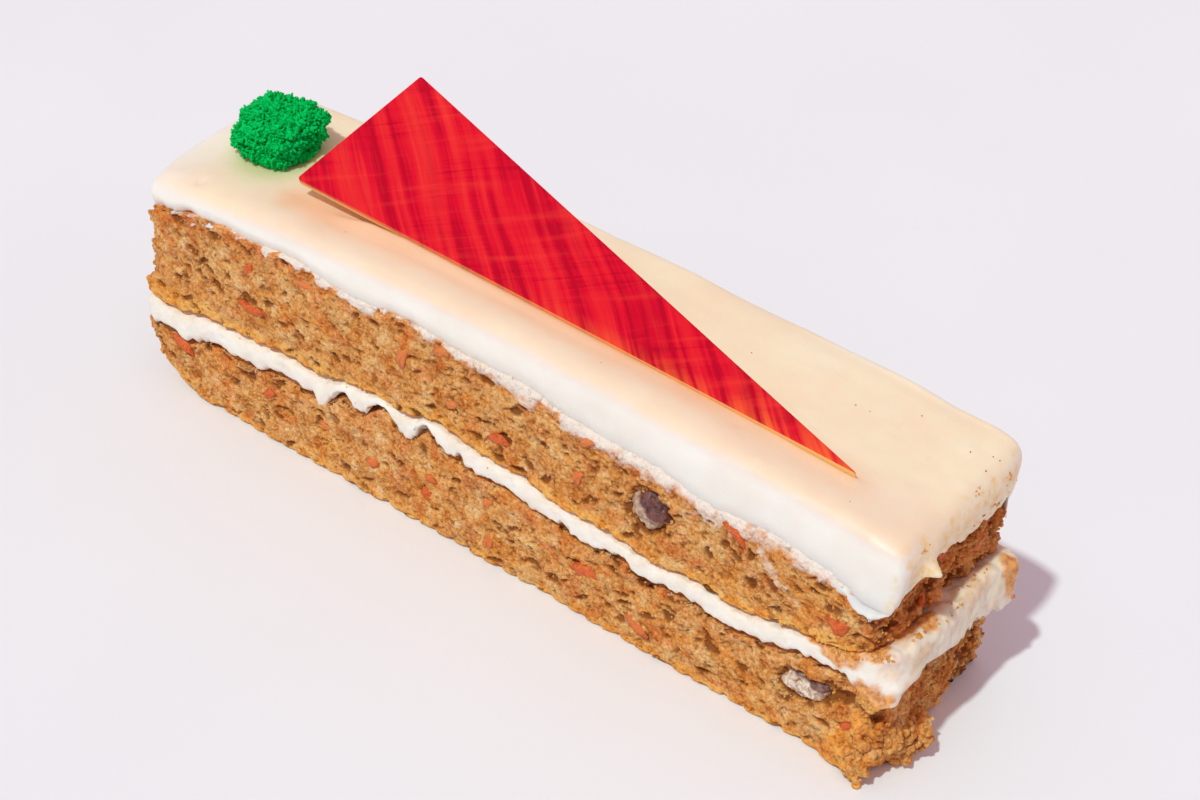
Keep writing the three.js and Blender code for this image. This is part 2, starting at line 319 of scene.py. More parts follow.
def above_table(points):
    """The places, with none of them lower than the table."""
    points[:, 2] = np.maximum(points[:, 2], TABLE_GAP)
    return points


def hollows(points, normals, spots, radii, stretches, tilts):
    """Depth of the round and long holes at these spots."""
    depth = np.zeros(len(points))
    tree = KDTree(len(points))
    for number, point in enumerate(points):
        tree.insert(point, number)
    tree.balance()
    up = np.array((0.0, 0.0, 1.0))
    for spot, radius, stretch, tilt in zip(spots, radii, stretches, tilts):
        found = tree.find_range(spot, radius * max(1.0, stretch))
        if not found:
            continue
        numbers = np.array([number for _, number, _ in found])
        out = normals[numbers].mean(axis=0)
        along = np.cross(up, out)
        along /= max(1e-6, np.linalg.norm(along))
        across = np.cross(out, along)
        offset = points[numbers] - spot
        u = offset @ along * math.cos(tilt) + offset @ across * math.sin(tilt)
        v = offset @ across * math.cos(tilt) - offset @ along * math.sin(tilt)
        distance = (u / (radius * stretch)) ** 2 + (v / radius) ** 2
        bowl = radius * np.clip(1 - distance, 0, 1) ** 0.6
        depth[numbers] = np.maximum(depth[numbers], bowl)
    return depth


ROOF_X = 58.8  # a layer's floor and roof are read inside these
ROOF_Y = 13.9
ABOVE_ALL = 90
BELOW_ALL = -30


def edges_of_layer(solid, points):
    """Floor and roof height of a CAD layer above and below each point."""
    tree = tree_of(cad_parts[solid])
    low, high = np.empty(len(points)), np.empty(len(points))
    for number, (x, y, _) in enumerate(points):
        x, y = min(max(x, -ROOF_X), ROOF_X), min(max(y, -ROOF_Y), ROOF_Y)
        high[number] = tree.ray_cast(metres((x, y, ABOVE_ALL)), Vector((0, 0, -1)))[0].z / MM
        low[number] = tree.ray_cast(metres((x, y, BELOW_ALL)), Vector((0, 0, 1)))[0].z / MM
    return low, high


# ---- finishes ----


class Finish:
    """A material while its nodes are put together."""

    def __init__(self, name):
        self.material = bpy.data.materials.new(name)
        self.material.use_nodes = True
        self.tree = self.material.node_tree
        self.shader = self.tree.nodes["Principled BSDF"]
        self.place = self.tree.nodes.new("ShaderNodeTexCoord").outputs["Object"]
        self.colour = None

    def plug(self, value, socket):
        if isinstance(value, bpy.types.NodeSocket):
            self.tree.links.new(value, socket)
        elif isinstance(value, tuple) and len(value) == 3 and socket.type == "RGBA":
            socket.default_value = (*value, 1.0)
        else:
            socket.default_value = value

    def add(self, kind, inputs=None, **settings):
        """A node with its inputs, by their names or, in a list, by their order."""
        node = self.tree.nodes.new(kind)
        for name, value in settings.items():
            setattr(node, name, value)
        inputs = inputs or {}
        for name, value in enumerate(inputs) if isinstance(inputs, list) else inputs.items():
            self.plug(value, node.inputs[name])
        return node

    def noise(self, size, detail=3.0, roughness=0.55, distortion=0.0, output="Fac"):
        """Cloudy noise in patches of about this many millimetres."""
        inputs = {"Vector": self.place, "Scale": 1 / (size * MM), "Detail": detail}
        inputs |= {"Roughness": roughness, "Distortion": distortion}
        return self.add("ShaderNodeTexNoise", inputs).outputs[output]

    def cells(self, size, output="Distance", place=None):
        inputs = {"Vector": place or self.place, "Scale": 1 / (size * MM)}
        return self.add("ShaderNodeTexVoronoi", inputs).outputs[output]

    def pushed(self, place, push, reach):
        """A place moved by a noise's colour, so that a pattern on it loses its shape."""
        node = self.add("ShaderNodeVectorMath", [push, reach, place], operation="MULTIPLY_ADD")
        return node.outputs["Vector"]

    def bent_place(self, size, reach):
        """Object coordinates pushed about by this many millimetres."""
        push = self.noise(size, 2.0, 0.6, output="Color")
        return self.pushed(self.place, push, (2 * reach * MM,) * 3)

    def mapped(self, place, **inputs):
        return self.add("ShaderNodeMapping", {"Vector": place, **inputs}).outputs["Vector"]

    def stored(self, name):
        return self.add("ShaderNodeAttribute", attribute_name=name).outputs["Fac"]

    def step(self, value, low, high, to_low=0.0, to_high=1.0):
        """Spreads low..high over to_low..to_high, and stops there."""
        inputs = {"Value": value, "From Min": low, "From Max": high, "To Min": to_low, "To Max": to_high}
        return self.add("ShaderNodeMapRange", inputs).outputs["Result"]

    def maths(self, operation, first, *more):
        for value in more:
            first = self.add("ShaderNodeMath", [first, value], operation=operation).outputs["Value"]
        return first

    def plus(self, *values):
        return self.maths("ADD", *values)

    def minus(self, *values):
        return self.maths("SUBTRACT", *values)

    def times(self, *values):
        return self.maths("MULTIPLY", *values)

    def blend(self, share, first, second, blend_type="MIX"):
        node = self.add("ShaderNodeMix", data_type="RGBA", blend_type=blend_type)
        self.plug(share, node.inputs["Factor"])
        self.plug(first, node.inputs[6])
        self.plug(second, node.inputs[7])
        return node.outputs[2]

    def lay(self, share, colour):
        """Lays a colour over the finish, in this share."""
        self.colour = self.blend(share, self.colour, colour)

    def tint(self, share, tint):
        """Multiplies the finish by a tint, in this share."""
        self.colour = self.blend(share, self.colour, tint, "MULTIPLY")

    def ramp(self, value, *stops):
        node = self.add("ShaderNodeValToRGB", {"Fac": value})
        band = node.color_ramp
        while len(band.elements) < len(stops):
            band.elements.new(0.5)
        for element, (position, colour) in zip(band.elements, stops):
            element.position = position
            element.color = (*colour, 1.0)
        return node.outputs["Color"]

    def relief(self, height, depth, strength):
        """Small relief, depth in millimetres."""
        node = self.add("ShaderNodeBump", {"Strength": strength, "Distance": depth * MM, "Height": height})
        self.set(Normal=node.outputs["Normal"])

    def set(self, **values):
        for name, value in values.items():
            self.plug(value, self.shader.inputs[name.replace("_", " ")])

    def soften(self, weight, depth):
        """Light that enters and comes out again, depth in millimetres."""
        self.set(Subsurface_Weight=weight, Subsurface_Scale=depth * MM, Subsurface_Radius=(1.0, 0.62, 0.4))

    def done(self, shine, smoothest, roughest, **constants):
        """The material in its colour, as rough as the shine noise says."""
        roughness = self.step(shine, 0.3, 0.7, smoothest, roughest)
        self.set(Base_Color=self.colour, Roughness=roughness, **constants)
        return self.material


# Golden, rosy and dull patches of the crumb: the noise's size, detail, roughness and
# distortion, the values that it fades in between, the most that it covers, its tint
CRUMB_PATCHES = (
    (4.0, 2.0, 0.55, 0.0, 0.50, 0.62, 0.75, (1.0, 0.82, 0.50)),
    (3.3, 3.0, 0.60, 0.0, 0.53, 0.64, 0.75, (1.0, 0.72, 0.66)),
    (3.1, 2.0, 0.50, 0.6, 0.54, 0.66, 0.55, (0.80, 0.76, 0.74)),
)
# What the crumb's finish reads from a piece; the first value is painted shade in holes and low places
# the last value paints the torn end redder and darker, the darkening as painted shade
CRUMB_VALUES = ("hollow_shade", "crust", "film", "blush", "torn")


def sponge_finish():
    """Open crumb: grains of many tones in golden, rosy and dull patches, with painted shade between the
    grains and in the holes and pores.
    """
    finish = Finish("nut and carrot sponge")
    hollow_shade, crust, film, blush, torn = (finish.stored(label) for label in CRUMB_VALUES)
    crooked = finish.bent_place(0.9, 0.22)
    fine = finish.noise(0.32, 4.0, 0.7)
    middling = finish.noise(2.2, 5.0, 0.66)
    grains = finish.cells(0.48, place=crooked)
    own_tone = finish.cells(0.48, "Color", place=crooked)
    flattened = finish.mapped(finish.bent_place(0.8, 0.5), Scale=(0.5, 0.5, 1.0))
    pores = finish.step(finish.cells(1.0, place=flattened), 0.10, 0.26, 1.0, 0.0)
    tone = finish.plus(finish.times(fine, 0.30), finish.times(middling, 0.58), finish.times(own_tone, 0.09))
    tone = finish.minus(tone, finish.times(grains, 0.06))
    finish.colour = finish.ramp(
        tone,
        (0.27, (0.38, 0.085, 0.008)),
        (0.35, (0.64, 0.22, 0.035)),
        (0.42, (0.79, 0.355, 0.088)),
        (0.49, (0.88, 0.48, 0.165)),
        (0.58, (0.94, 0.66, 0.33)),
    )
    for size, detail, roughness, distortion, low, high, cover, tint in CRUMB_PATCHES:
        patch = finish.noise(size, detail, roughness, distortion)
        finish.tint(finish.step(patch, low, high, 0.0, cover), tint)
    finish.tint(blush, (1.0, 0.72, 0.62))
    baked = ((0.27, (0.70, 0.16, 0.01)), (0.39, (0.98, 0.36, 0.035)), (0.50, (1.0, 0.54, 0.13)))
    finish.lay(crust, finish.ramp(tone, *baked))
    # painted shade in the gaps between grains, less of it on the crust
    grain_gap_shade = finish.times(finish.step(grains, 0.50, 0.85, 0.0, 0.45), finish.step(crust, 0.0, 1.0, 1.0, 0.4))
    finish.tint(grain_gap_shade, (0.52, 0.28, 0.11))
    # painted shade: holes, pores and low places laid over in dark brown
    hole_shade = finish.maths("MAXIMUM", finish.step(hollow_shade, 0.38, 0.88, 0.0, 0.92), finish.times(pores, 0.7))
    finish.lay(hole_shade, (0.26, 0.068, 0.005))
    # the torn end painted redder and darker; the darkening is painted shade
    finish.tint(torn, (0.89, 0.68, 0.54))
    wisps = finish.times(finish.noise(0.9, 4.0, 0.7), 1.8)
    veil = finish.step(finish.plus(film, wisps), 1.22, 2.2, 0.0, 0.85)
    veil = finish.times(veil, finish.step(film, 0.02, 0.2))
    finish.lay(veil, (0.99, 0.92, 0.84))
    height = finish.minus(finish.times(fine, 0.8), finish.times(grains, 0.6), finish.times(pores, 0.7))
    finish.relief(height, 0.30, 0.9)
    finish.soften(0.14, 0.9)
    return finish.done(fine, 0.6, 0.85, Specular_IOR_Level=0.3)


def frosting_finish():
    finish = Finish("glossy soft frosting")
    clouds = finish.noise(9.0, 3.0)
    glaze = finish.ramp(clouds, (0.35, (1.0, 0.775, 0.54)), (0.65, (1.0, 0.825, 0.60)))
    edge = finish.ramp(clouds, (0.35, (0.91, 0.86, 0.775)), (0.65, (0.95, 0.91, 0.84)))
    finish.colour = finish.blend(finish.stored("glaze"), edge, glaze)
    for label, tint in (
        # painted shade along the front of the top
        ("front_shade", (0.93, 0.90, 0.93)),
        ("green_tint", (0.62, 0.86, 0.50)),
        # painted shadow and reflected red light of the plaque
        ("plaque_shadow_and_red_light", (0.97, 0.68, 0.53)),
    ):
        finish.tint(finish.stored(label), tint)
    smears = finish.step(finish.noise(1.1, 4.0, 0.65), 0.42, 0.62, 0.35, 1.0)
    finish.lay(finish.times(finish.stored("gold"), smears), (0.93, 0.60, 0.22))
    ripple = finish.noise(2.6, 3.0, 0.5)
    wet_grain = finish.times(finish.noise(0.55, 3.0, 0.6), finish.stored("ragged"))
    finish.relief(finish.plus(ripple, wet_grain), 0.25, 0.35)
    finish.set(Specular_IOR_Level=0.36, Coat_Weight=0.1, Coat_Roughness=0.38)
    finish.soften(0.35, 2.5)
    return finish.done(clouds, 0.36, 0.5)


def cream_finish():
    finish = Finish("whipped cream")
    clouds = finish.noise(3.0, 4.0, 0.6)
    finish.colour = finish.ramp(clouds, (0.3, (0.88, 0.82, 0.70)), (0.6, (0.96, 0.92, 0.84)))
    # darker and yellower over the torn end
    finish.tint(finish.stored("torn_end_darker"), (0.88, 0.80, 0.66))
    flecks = finish.step(finish.noise(0.8, 4.0, 0.7), 0.32, 0.50, 0.65, 1.0)
    spots = finish.noise(0.9, 4.0, 0.65)
    brown = finish.ramp(spots, (0.36, (0.50, 0.16, 0.02)), (0.56, (0.85, 0.37, 0.07)))
    finish.lay(finish.times(finish.stored("stain"), flecks), brown)
    finish.relief(finish.noise(0.8, 4.0, 0.6), 0.22, 0.6)
    finish.soften(0.3, 0.9)
    return finish.done(clouds, 0.42, 0.58)


STEEP_STROKES = 141.0  # degrees from the plaque's length, one coat of red
CROSS_STROKES = 39.5  # the other coat


def plaque_finish():
    """Sugar brushed with red twice, the strokes crossing; bare and yellow at its rim, painted brighter there
    for light that shines through the sugar.
    """
    finish = Finish("brushed red sugar")
    sheet = finish.add("ShaderNodeUVMap", uv_map="sheet").outputs["UV"]
    sway = finish.add("ShaderNodeTexNoise", {"Vector": sheet, "Scale": 0.035, "Detail": 1.0}).outputs["Color"]
    swayed = finish.pushed(sheet, sway, (3.2, 3.2, 0.0))

    def strokes(angle, width, length, detail, roughness=0.6):
        turned = finish.mapped(swayed, Rotation=(0, 0, math.radians(-angle)))
        stretched = finish.mapped(turned, Scale=(1 / length, 1 / width, 1))
        inputs = {"Vector": stretched, "Scale": 1.0, "Detail": detail, "Roughness": roughness}
        return finish.add("ShaderNodeTexNoise", inputs).outputs["Fac"]

    bands = strokes(STEEP_STROKES, 3.4, 60.0, 1.5)
    lines = strokes(STEEP_STROKES, 1.3, 38.0, 2.5)
    hairs = strokes(STEEP_STROKES, 0.6, 30.0, 3.0, 0.7)
    cross_bands = strokes(CROSS_STROKES, 2.4, 20.0, 2.0)
    cross_lines = strokes(CROSS_STROKES, 0.75, 16.0, 3.0)
    patches = finish.add("ShaderNodeTexNoise", {"Vector": sheet, "Scale": 0.06, "Detail": 1.0}).outputs["Fac"]
    dark = finish.plus(finish.step(bands, 0.49, 0.61, 0.0, 0.7), finish.step(lines, 0.49, 0.64, 0.0, 0.7))
    crossed = finish.plus(
        finish.step(cross_bands, 0.52, 0.66, 0.0, 0.4), finish.step(cross_lines, 0.54, 0.68, 0.0, 0.7)
    )
    crossed = finish.times(crossed, finish.step(patches, 0.42, 0.58, 0.2, 1.0))
    dark = finish.maths("MINIMUM", finish.plus(dark, crossed), 1.0)
    light = finish.plus(
        finish.step(bands, 0.46, 0.32, 0.0, 0.4),
        finish.step(lines, 0.45, 0.30, 0.0, 0.55),
        finish.step(cross_bands, 0.44, 0.30, 0.0, 0.35),
        finish.step(hairs, 0.42, 0.28, 0.0, 0.35),
    )
    finish.colour = finish.ramp(
        dark,
        (0.0, (0.79, 0.011, 0.025)),
        (0.4, (0.74, 0.003, 0.024)),
        (0.75, (0.64, 0.001, 0.022)),
        (1.0, (0.52, 0.0, 0.018)),
    )
    finish.lay(finish.maths("MINIMUM", light, 0.9), (0.88, 0.048, 0.032))
    warm = finish.times(finish.stored("tip_glow"), finish.step(lines, 0.62, 0.40))
    finish.lay(warm, (0.95, 0.15, 0.035))
    # the rim's bare yellow, made brighter as painted light shining through
    finish.lay(finish.stored("rim"), (1.0, 0.68, 0.24))
    finish.relief(finish.plus(hairs, cross_lines), 0.04, 0.4)
    finish.soften(0.12, 1.0)
    return finish.done(hairs, 0.40, 0.52, Specular_IOR_Level=0.08)


def tuft_finish():
    finish = Finish("green sugar moss")
    mottled = finish.noise(0.8, 5.0, 0.7)
    greens = ((0.3, (0.0, 0.34, 0.045)), (0.5, (0.0, 0.58, 0.11)), (0.7, (0.002, 0.80, 0.20)))
    # painted shade: the moss's hollows laid over in dark green
    hole_shade = finish.step(finish.stored("hollow_shade"), 0.3, 1.0, 0.0, 0.85)
    finish.colour = finish.blend(hole_shade, finish.ramp(mottled, *greens), (0.0, 0.15, 0.008))
    finish.relief(finish.noise(0.3, 4.0, 0.7), 0.15, 0.8)
    return finish.done(mottled, 0.8, 0.95, Specular_IOR_Level=0.08)


def walnut_finish():
    finish = Finish("walnut skin and flesh")
    veins = finish.noise(0.8, 5.0, 0.65, 0.8)
    skin = finish.ramp(veins, (0.35, (0.05, 0.011, 0.010)), (0.62, (0.22, 0.075, 0.062)))
    dull = ((0.3, (0.24, 0.12, 0.06)), (0.48, (0.46, 0.29, 0.185)), (0.66, (0.72, 0.57, 0.45)))
    pale_flesh = ((0.34, (0.28, 0.13, 0.06)), (0.46, (0.66, 0.47, 0.32)), (0.60, (0.90, 0.82, 0.72)))
    flesh = finish.blend(finish.stored("pale_flesh"), finish.ramp(veins, *dull), finish.ramp(veins, *pale_flesh))
    finish.relief(veins, 0.3, 0.7)
    finish.soften(0.1, 0.6)
    finish.colour = finish.blend(finish.stored("skin"), flesh, skin)
    return finish.done(veins, 0.22, 0.5)


def carrot_finish():
    finish = Finish("baked carrot")
    threads = finish.noise(0.5, 4.0, 0.65)
    finish.colour = finish.ramp(threads, (0.3, (0.52, 0.055, 0.004)), (0.65, (0.86, 0.17, 0.02)))
    finish.lay(finish.step(finish.stored("tint"), 0.3, 0.9, 0.0, 0.7), (0.82, 0.26, 0.06))
    finish.relief(threads, 0.25, 0.8)
    finish.soften(0.2, 0.8)
    return finish.done(threads, 0.4, 0.6)


def speck_finish():
    finish = Finish("dark speck")
    shade = finish.noise(0.2, 2.0)
    finish.colour = finish.ramp(shade, (0.3, (0.05, 0.035, 0.02)), (0.7, (0.16, 0.10, 0.05)))
    finish.set(Base_Color=finish.colour, Roughness=0.6)
    return finish.material


# ---- the sponge layers ----


def open_walls(piece, cuts, times=14, tops_beyond=1000.0):
    """Splits the four cut walls finely, and the floor and roof where they lie further
    out than the last value, and evens them out; what lies against another layer keeps
    its few faces. Returns which points are on the walls, and which of those lie on
    their rims."""
    middles, normals = faces_of(piece)
    outside = (np.abs(middles[:, 0]) > INNER_X) | (np.abs(middles[:, 1]) > INNER_Y)
    upright = (np.abs(normals[:, 2]) < 0.8) | (np.abs(middles[:, 0]) > tops_beyond)
    subdivide(piece, outside & upright, cuts)
    wall = chosen_points(piece)
    rim = np.zeros(len(wall), bool)
    for face in piece.data.polygons:
        if not face.select:
            rim[list(face.vertices)] = True
    rim &= wall
    piece.data.vertices.foreach_set("select", wall & ~rim)
    smooth_points(piece, times)
    return np.flatnonzero(wall), rim[wall]


def nut_box(nut):
    """Middle and half size of a nut."""
    corners = np.array(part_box(nut)) / MM - SLICE_MIDDLE
    return corners.mean(axis=0), (corners[1] - corners[0]) / 2


def close_pocket(piece, nut):
    """Takes away the walls of the pocket round this nut and closes its mouth."""
    middles, normals = faces_of(piece)
    inward = nut_box(nut)[0] - middles
    near = np.linalg.norm(inward, axis=1) < NUT_REACH
    cut_out_and_close(piece, near & (np.einsum("ij,ij->i", inward, normals) > 0.25))


def near_nut(here, nut, reach):
    """1 where a nut lies bared in the front wall, 0 beyond this share of its size."""
    middle, half = nut_box(nut)
    away = np.linalg.norm(((here - middle) / half)[:, (0, 2)], axis=-1)
    return (1 - rise(away + 0.18 * soft_noise(here, 0.9, 74), reach - 0.35, reach)) * (here[:, 1] < FRONT_Y)


def on_lump(here):
    """How far each point belongs to the torn lump."""
    return 1 - rise(away_from(here, LUMP_MIDDLE, LUMP_REACH) + 0.4 * soft_noise(here, 1.8, 73), 0.7, 1.4)


SMALLEST_HOLE = 0.18
LARGEST_HOLE = 0.62


def crumb_holes(here, crooked, out, seed, count, wanted):
    """Depth of the crumb's holes: many small ones at random and those of the list."""
    rng = np.random.default_rng(seed)
    spots = list(crooked[rng.choice(len(here), count)])
    radii = np.clip(SMALLEST_HOLE * (1 - rng.random(count)) ** -0.34, SMALLEST_HOLE, LARGEST_HOLE)
    stretches = rng.uniform(1.1, 2.8, count)
    tilts = rng.normal(0, 0.3, count)
    x, z, *shapes = zip(*wanted)
    spots += [np.array(spot) for spot in zip(x, itertools.repeat(-HALF_WIDTH), z)]
    radii, stretches, tilts = (
        np.concatenate([drawn, listed]) for drawn, listed in zip((radii, stretches, tilts), shapes)
    )
    return hollows(bent(crooked, 0.7, 0.22, seed + 40), out, spots, radii, stretches, tilts)


def sponge_layer(node, name, nut, crust, film, seed, cuts, holes, wanted_holes):
    piece = copy_of_solid(node, name)
    lower_one = node == "lower_sponge"
    close_pocket(piece, nut)
    on_wall, rim = open_walls(piece, cuts)
    points, normals = surface_of(piece)
    here, out = points[on_wall], normals[on_wall]
    round_nut = near_nut(here, nut, 1.9)[:, None]
    out = out * (1 - round_nut) + np.array((0.0, -1.0, 0.0)) * round_nut
    low, high = edges_of_layer(node, here)
    x, _, z = here.T
    torn = rise(x, 56, 61) + 0.5 * rise(-x, 60, 63)

    crooked = bent(here, 1.5, 0.5, seed + 30)
    height = 0.15 * soft_noise(here, 3.3, seed) + 0.24 * soft_noise(crooked, (2.1, 2.1, 1.2), seed + 1)
    coarse = from_grain(crooked, (1.5, 1.25, 1.1), seed + 2)
    fine = from_grain(crooked, (0.85, 0.78, 0.66), seed + 9)
    height += (0.26 + 0.75 * torn) * (0.5 - coarse) + 0.22 * (0.5 - fine)
    height += torn * (0.9 * soft_noise(crooked, 2.4, seed + 20) - 0.15)
    depth = crumb_holes(here, crooked, out, seed, holes, wanted_holes)

    skin = crust(here, low, high)
    veil = film(here, low, high)
    calm = 1 - 0.55 * np.clip(skin + veil, 0, 1) * (1 - torn)
    height, depth = height * calm, depth * (1 - 0.7 * np.clip(veil, 0, 1))
    over_nut = near_nut(here, nut, 1.1)
    if lower_one:
        tuck = 0.3 * (1 - rise(high - z, 0.0, 0.9)) * (1 - torn)
        lift = np.clip(-cream_edge(here), 0, None)
        smear = 0.0
    else:
        tuck = 0.1 * (1 - rise(z - low, 0.0, 0.6)) * (1 - torn)
        lift = 0.0
        smear = 0.2 * veil * (1 - torn)
    moved = here + out * (height - 0.95 * depth - tuck + smear - 0.9 * over_nut)[:, None]
    moved[rim] = here[rim] + out[rim] * (0.5 * height - tuck)[rim, None]
    beside_nut = round_nut[:, 0] > 0.02
    moved[:, 1] = np.where(beside_nut, np.maximum(moved[:, 1], -HALF_WIDTH - 0.3), moved[:, 1])
    moved[:, 2] += lift * rise(z, high - 2.6, high)
    points[on_wall] = above_table(moved)
    write_points(piece, points)

    # painted shade: darkest in holes, in low places and round the nut
    hollow_shade = np.clip(0.30 - height * 0.8 + depth * 1.5 + 0.5 * over_nut, 0, 1)
    blush = 1 - rise(high - z + 0.8 * soft_noise(here, 2.4, seed + 6), 0.8, 3.4)
    blush = blush * (0.35 if lower_one else 0.65)
    # the torn end, and the lump on the lower layer, painted redder and darker; the darkening is painted shade
    redder_shaded_end = rise(x, 57.0, 60.0) * rise(z, 13, 18)
    if lower_one:
        redder_shaded_end = np.maximum(0.5 * redder_shaded_end, 0.4 * on_lump(here) * (0.6 + 0.6 * soft_noise(here, 2.2, 75)))
    for label, values in zip(CRUMB_VALUES, (hollow_shade, skin, veil, blush, np.clip(redder_shaded_end, 0, 1))):
        store(piece, label, values, on_wall)
    return piece, on_wall


def upper_crust(here, low, high):
    """A golden baked skin along the floor of the layer."""
    x, _, z = here.T
    ragged = 0.8 * soft_noise(here, 3.2, 71) + 0.4 * soft_noise(here, 1.1, 70)
    thick = 1.6 + 1.6 * rise(-x, 44, 58)
    skin = 0.95 * (1 - rise(z - low + ragged, 0.4 * thick, 1.5 * thick))
    return skin * (1 - 0.6 * rise(x, 60, 61))


def lower_crust(here, low, high):
    """The baked bottom of the cake, which also shows all over the torn lump."""
    ragged = 0.7 * soft_noise(here, 2.6, 72)
    bottom = (1 - rise(here[:, 2] - low + ragged, 0.2, 2.0)) * 0.85
    return np.maximum(bottom, 0.9 * on_lump(here))


def near_streak(here, start, end, width):
    """How close each point of the front cut is to a line on it."""
    distance = distance_to_line(here[:, (0, 2)], start, end)
    return (1 - rise(distance + 0.5 * soft_noise(here, 1.1, 85), 0.3 * width, width)) * (here[:, 1] < -13)


def frosting_film(here, low, high):
    """White smears that the knife dragged down from the frosting."""
    x, y, z = here.T
    middle_part = 1.4 * rise(x, -16, 10) * (1 - rise(x, 46, 56))
    reach = np.where(y > 0, 0.9, 0.2 + 0.5 * rise(x, -45, -20) + middle_part)
    patchy = 1.4 * soft_noise(here, 2.1, 81) + 1.0 * soft_noise(here, 0.8, 82)
    patchy += 1.8 * rise(-x, 44, 54)
    below_frosting = 1 - rise(high - z + patchy, 0.9, reach + 1.2)
    streak = near_streak(here, (42.4, 26.3), (45.2, 24.0), 1.0)
    streak = np.maximum(streak, 0.8 * near_streak(here, (46.2, 23.0), (49.2, 21.6), 0.8))
    streak *= 0.75 + 0.6 * soft_noise(here, 0.9, 86)
    thickest = 0.45 * (1 - rise(high - z + 0.4 * patchy, 0.6, 1.5))
    return np.clip(np.maximum(below_frosting, 0.85 * streak), 0, 1) + thickest


def cream_film(here, low, high):
    """A thin smear of cream along the top of the lower layer."""
    patchy = 0.9 * soft_noise(here, 1.7, 83) + 0.6 * soft_noise(here, 0.8, 84)
    return (1 - rise(high - here[:, 2] + patchy, -0.5, 0.5)) * 0.45


# ---- cream ----

# Drips and notches of the cream's lower edge in the front cut: x, half width, drop
CREAM_EDGE = [
    (-46.0, 1.6, 0.7),
    (-29.0, 1.2, 3.2),
    (-25.2, 1.5, -1.6),
    (-22.0, 0.8, 1.1),
    (-17.9, 2.2, -2.4),
    (-13.6, 0.9, 1.7),
    (-10.3, 1.4, -1.9),
    (-6.4, 0.8, 0.9),
    (-4.2, 0.9, -0.7),
    (-1.4, 1.0, 0.9),
    (4.0, 1.2, 0.6),
    (13.5, 1.2, -0.6),
    (23.0, 1.6, -0.6),
    (36.0, 2.0, 0.5),
    (60.6, 2.3, 4.0),
]
# Where crust and crumb have coloured the cream at the torn end: place, half sizes
CREAM_STAINS = [
    ((56.1, -15.0, 17.4), (2.5, 2.5, 1.7)),
    ((52.4, -14.5, 17.6), (2.4, 2.0, 0.8)),
    ((60.3, -13.3, 19.4), (1.8, 1.7, 1.4)),
    ((61.9, -5.3, 20.2), (1.5, 1.5, 1.4)),
    ((61.0, -8.8, 20.0), (1.4, 2.6, 0.9)),
    ((64.6, 11.0, 18.8), (1.6, 1.6, 3.0)),
    ((60.8, -15.0, 12.6), (3.0, 2.0, 2.3)),
]


def cream_edge(here):
    """How far the cream's lower edge hangs below its usual height at each point."""
    drop = np.zeros(len(here))
    for x, half_width, reach in CREAM_EDGE:
        drop += reach * bump_at(here[:, 0], x, half_width)
    return drop * (here[:, 1] < FRONT_Y)


def cream_layer():
    piece = copy_of_solid("cream_filling", "cream_layer")
    on_wall, _ = open_walls(piece, cuts=9, times=70, tops_beyond=57.0)
    points, normals = surface_of(piece)
    here, out = points[on_wall], normals[on_wall]
    out[:, 2] *= 0.2
    low, high = edges_of_layer("cream_filling", here)
    x, y, z = here.T
    share = np.clip((z - low) / (high - low), 0, 1)
    flat = here * (1, 1, 0)
    torn = rise(x, 58, 62)
    ragged = soft_noise(flat, 2.3, 31) + 0.8 * soft_noise(flat, 0.9, 32)
    spiky = ragged + 0.6 * soft_noise(flat, 0.5, 30)
    above = 0.55 + 0.35 * ragged
    below = np.maximum(0.55 + (0.45 + 0.8 * torn) * spiky, 0.2)
    below += 0.9 * np.clip(soft_noise(flat, 2.9, 33), 0, 1) * rise(-x, -10, 30)
    drop = cream_edge(here)
    below = np.where(np.abs(drop) > 0.3, drop + 0.35 * spiky, below)
    here[:, 2] += above * share - below * (1 - share)
    swell = 0.2 + 0.16 * soft_noise(here, 2.0, 34) + 0.08 * soft_noise(here, 0.7, 35)
    swell += torn * (0.5 * soft_noise(here, (3.0, 3.4, 2.2), 37) + 0.25 * soft_noise(here, 1.3, 38))
    hanging = rise(drop, 0.3, 1.2)
    swell += 0.7 * hanging * torn * (1 - share)
    under = (0.5 - 0.25 * torn) * (1 - hanging) - 0.15 * hanging
    tuck = np.where(share > 0.5, 0.12, under) * np.abs(2 * share - 1) ** 4
    here += out * (swell - tuck)[:, None]
    points[on_wall] = here
    write_points(piece, points)

    near_top = 1 - rise(1 - share, 0.05, 0.5)
    mottled = soft_noise(here, 2.0, 36) + 0.6 * soft_noise(here, 0.8, 39)
    patches = torn * rise(mottled + 0.5 * near_top, 0.25, 0.8)
    patches = 0.3 * patches + 0.16 * near_top * (1 - torn)
    for place, half in CREAM_STAINS:
        uneven = 0.45 * soft_noise(here, 1.1, 40)
        patches = np.maximum(patches, 1 - rise(away_from(here, place, half) + uneven, 0.85, 1.4))
    store(piece, "stain", np.clip(patches, 0, 0.97), on_wall)
    # the cream made darker and yellower over the torn end, away from the front
    torn_end_darker = torn * (0.75 + 0.4 * soft_noise(here, 3.0, 59)) * rise(y, -15, -10)
    store(piece, "torn_end_darker", np.clip(torn_end_darker, 0, 1), on_wall)
    return piece


# ---- frosting ----

# Pointed drips: place, reach, pull
FROSTING_DRIPS = [
    ((62.2, -8.6, 31.2), 1.6, (2.3, -0.3, -0.2)),
    ((60.2, -15.0, 26.0), 2.0, (-0.2, 0.0, -0.9)),
]
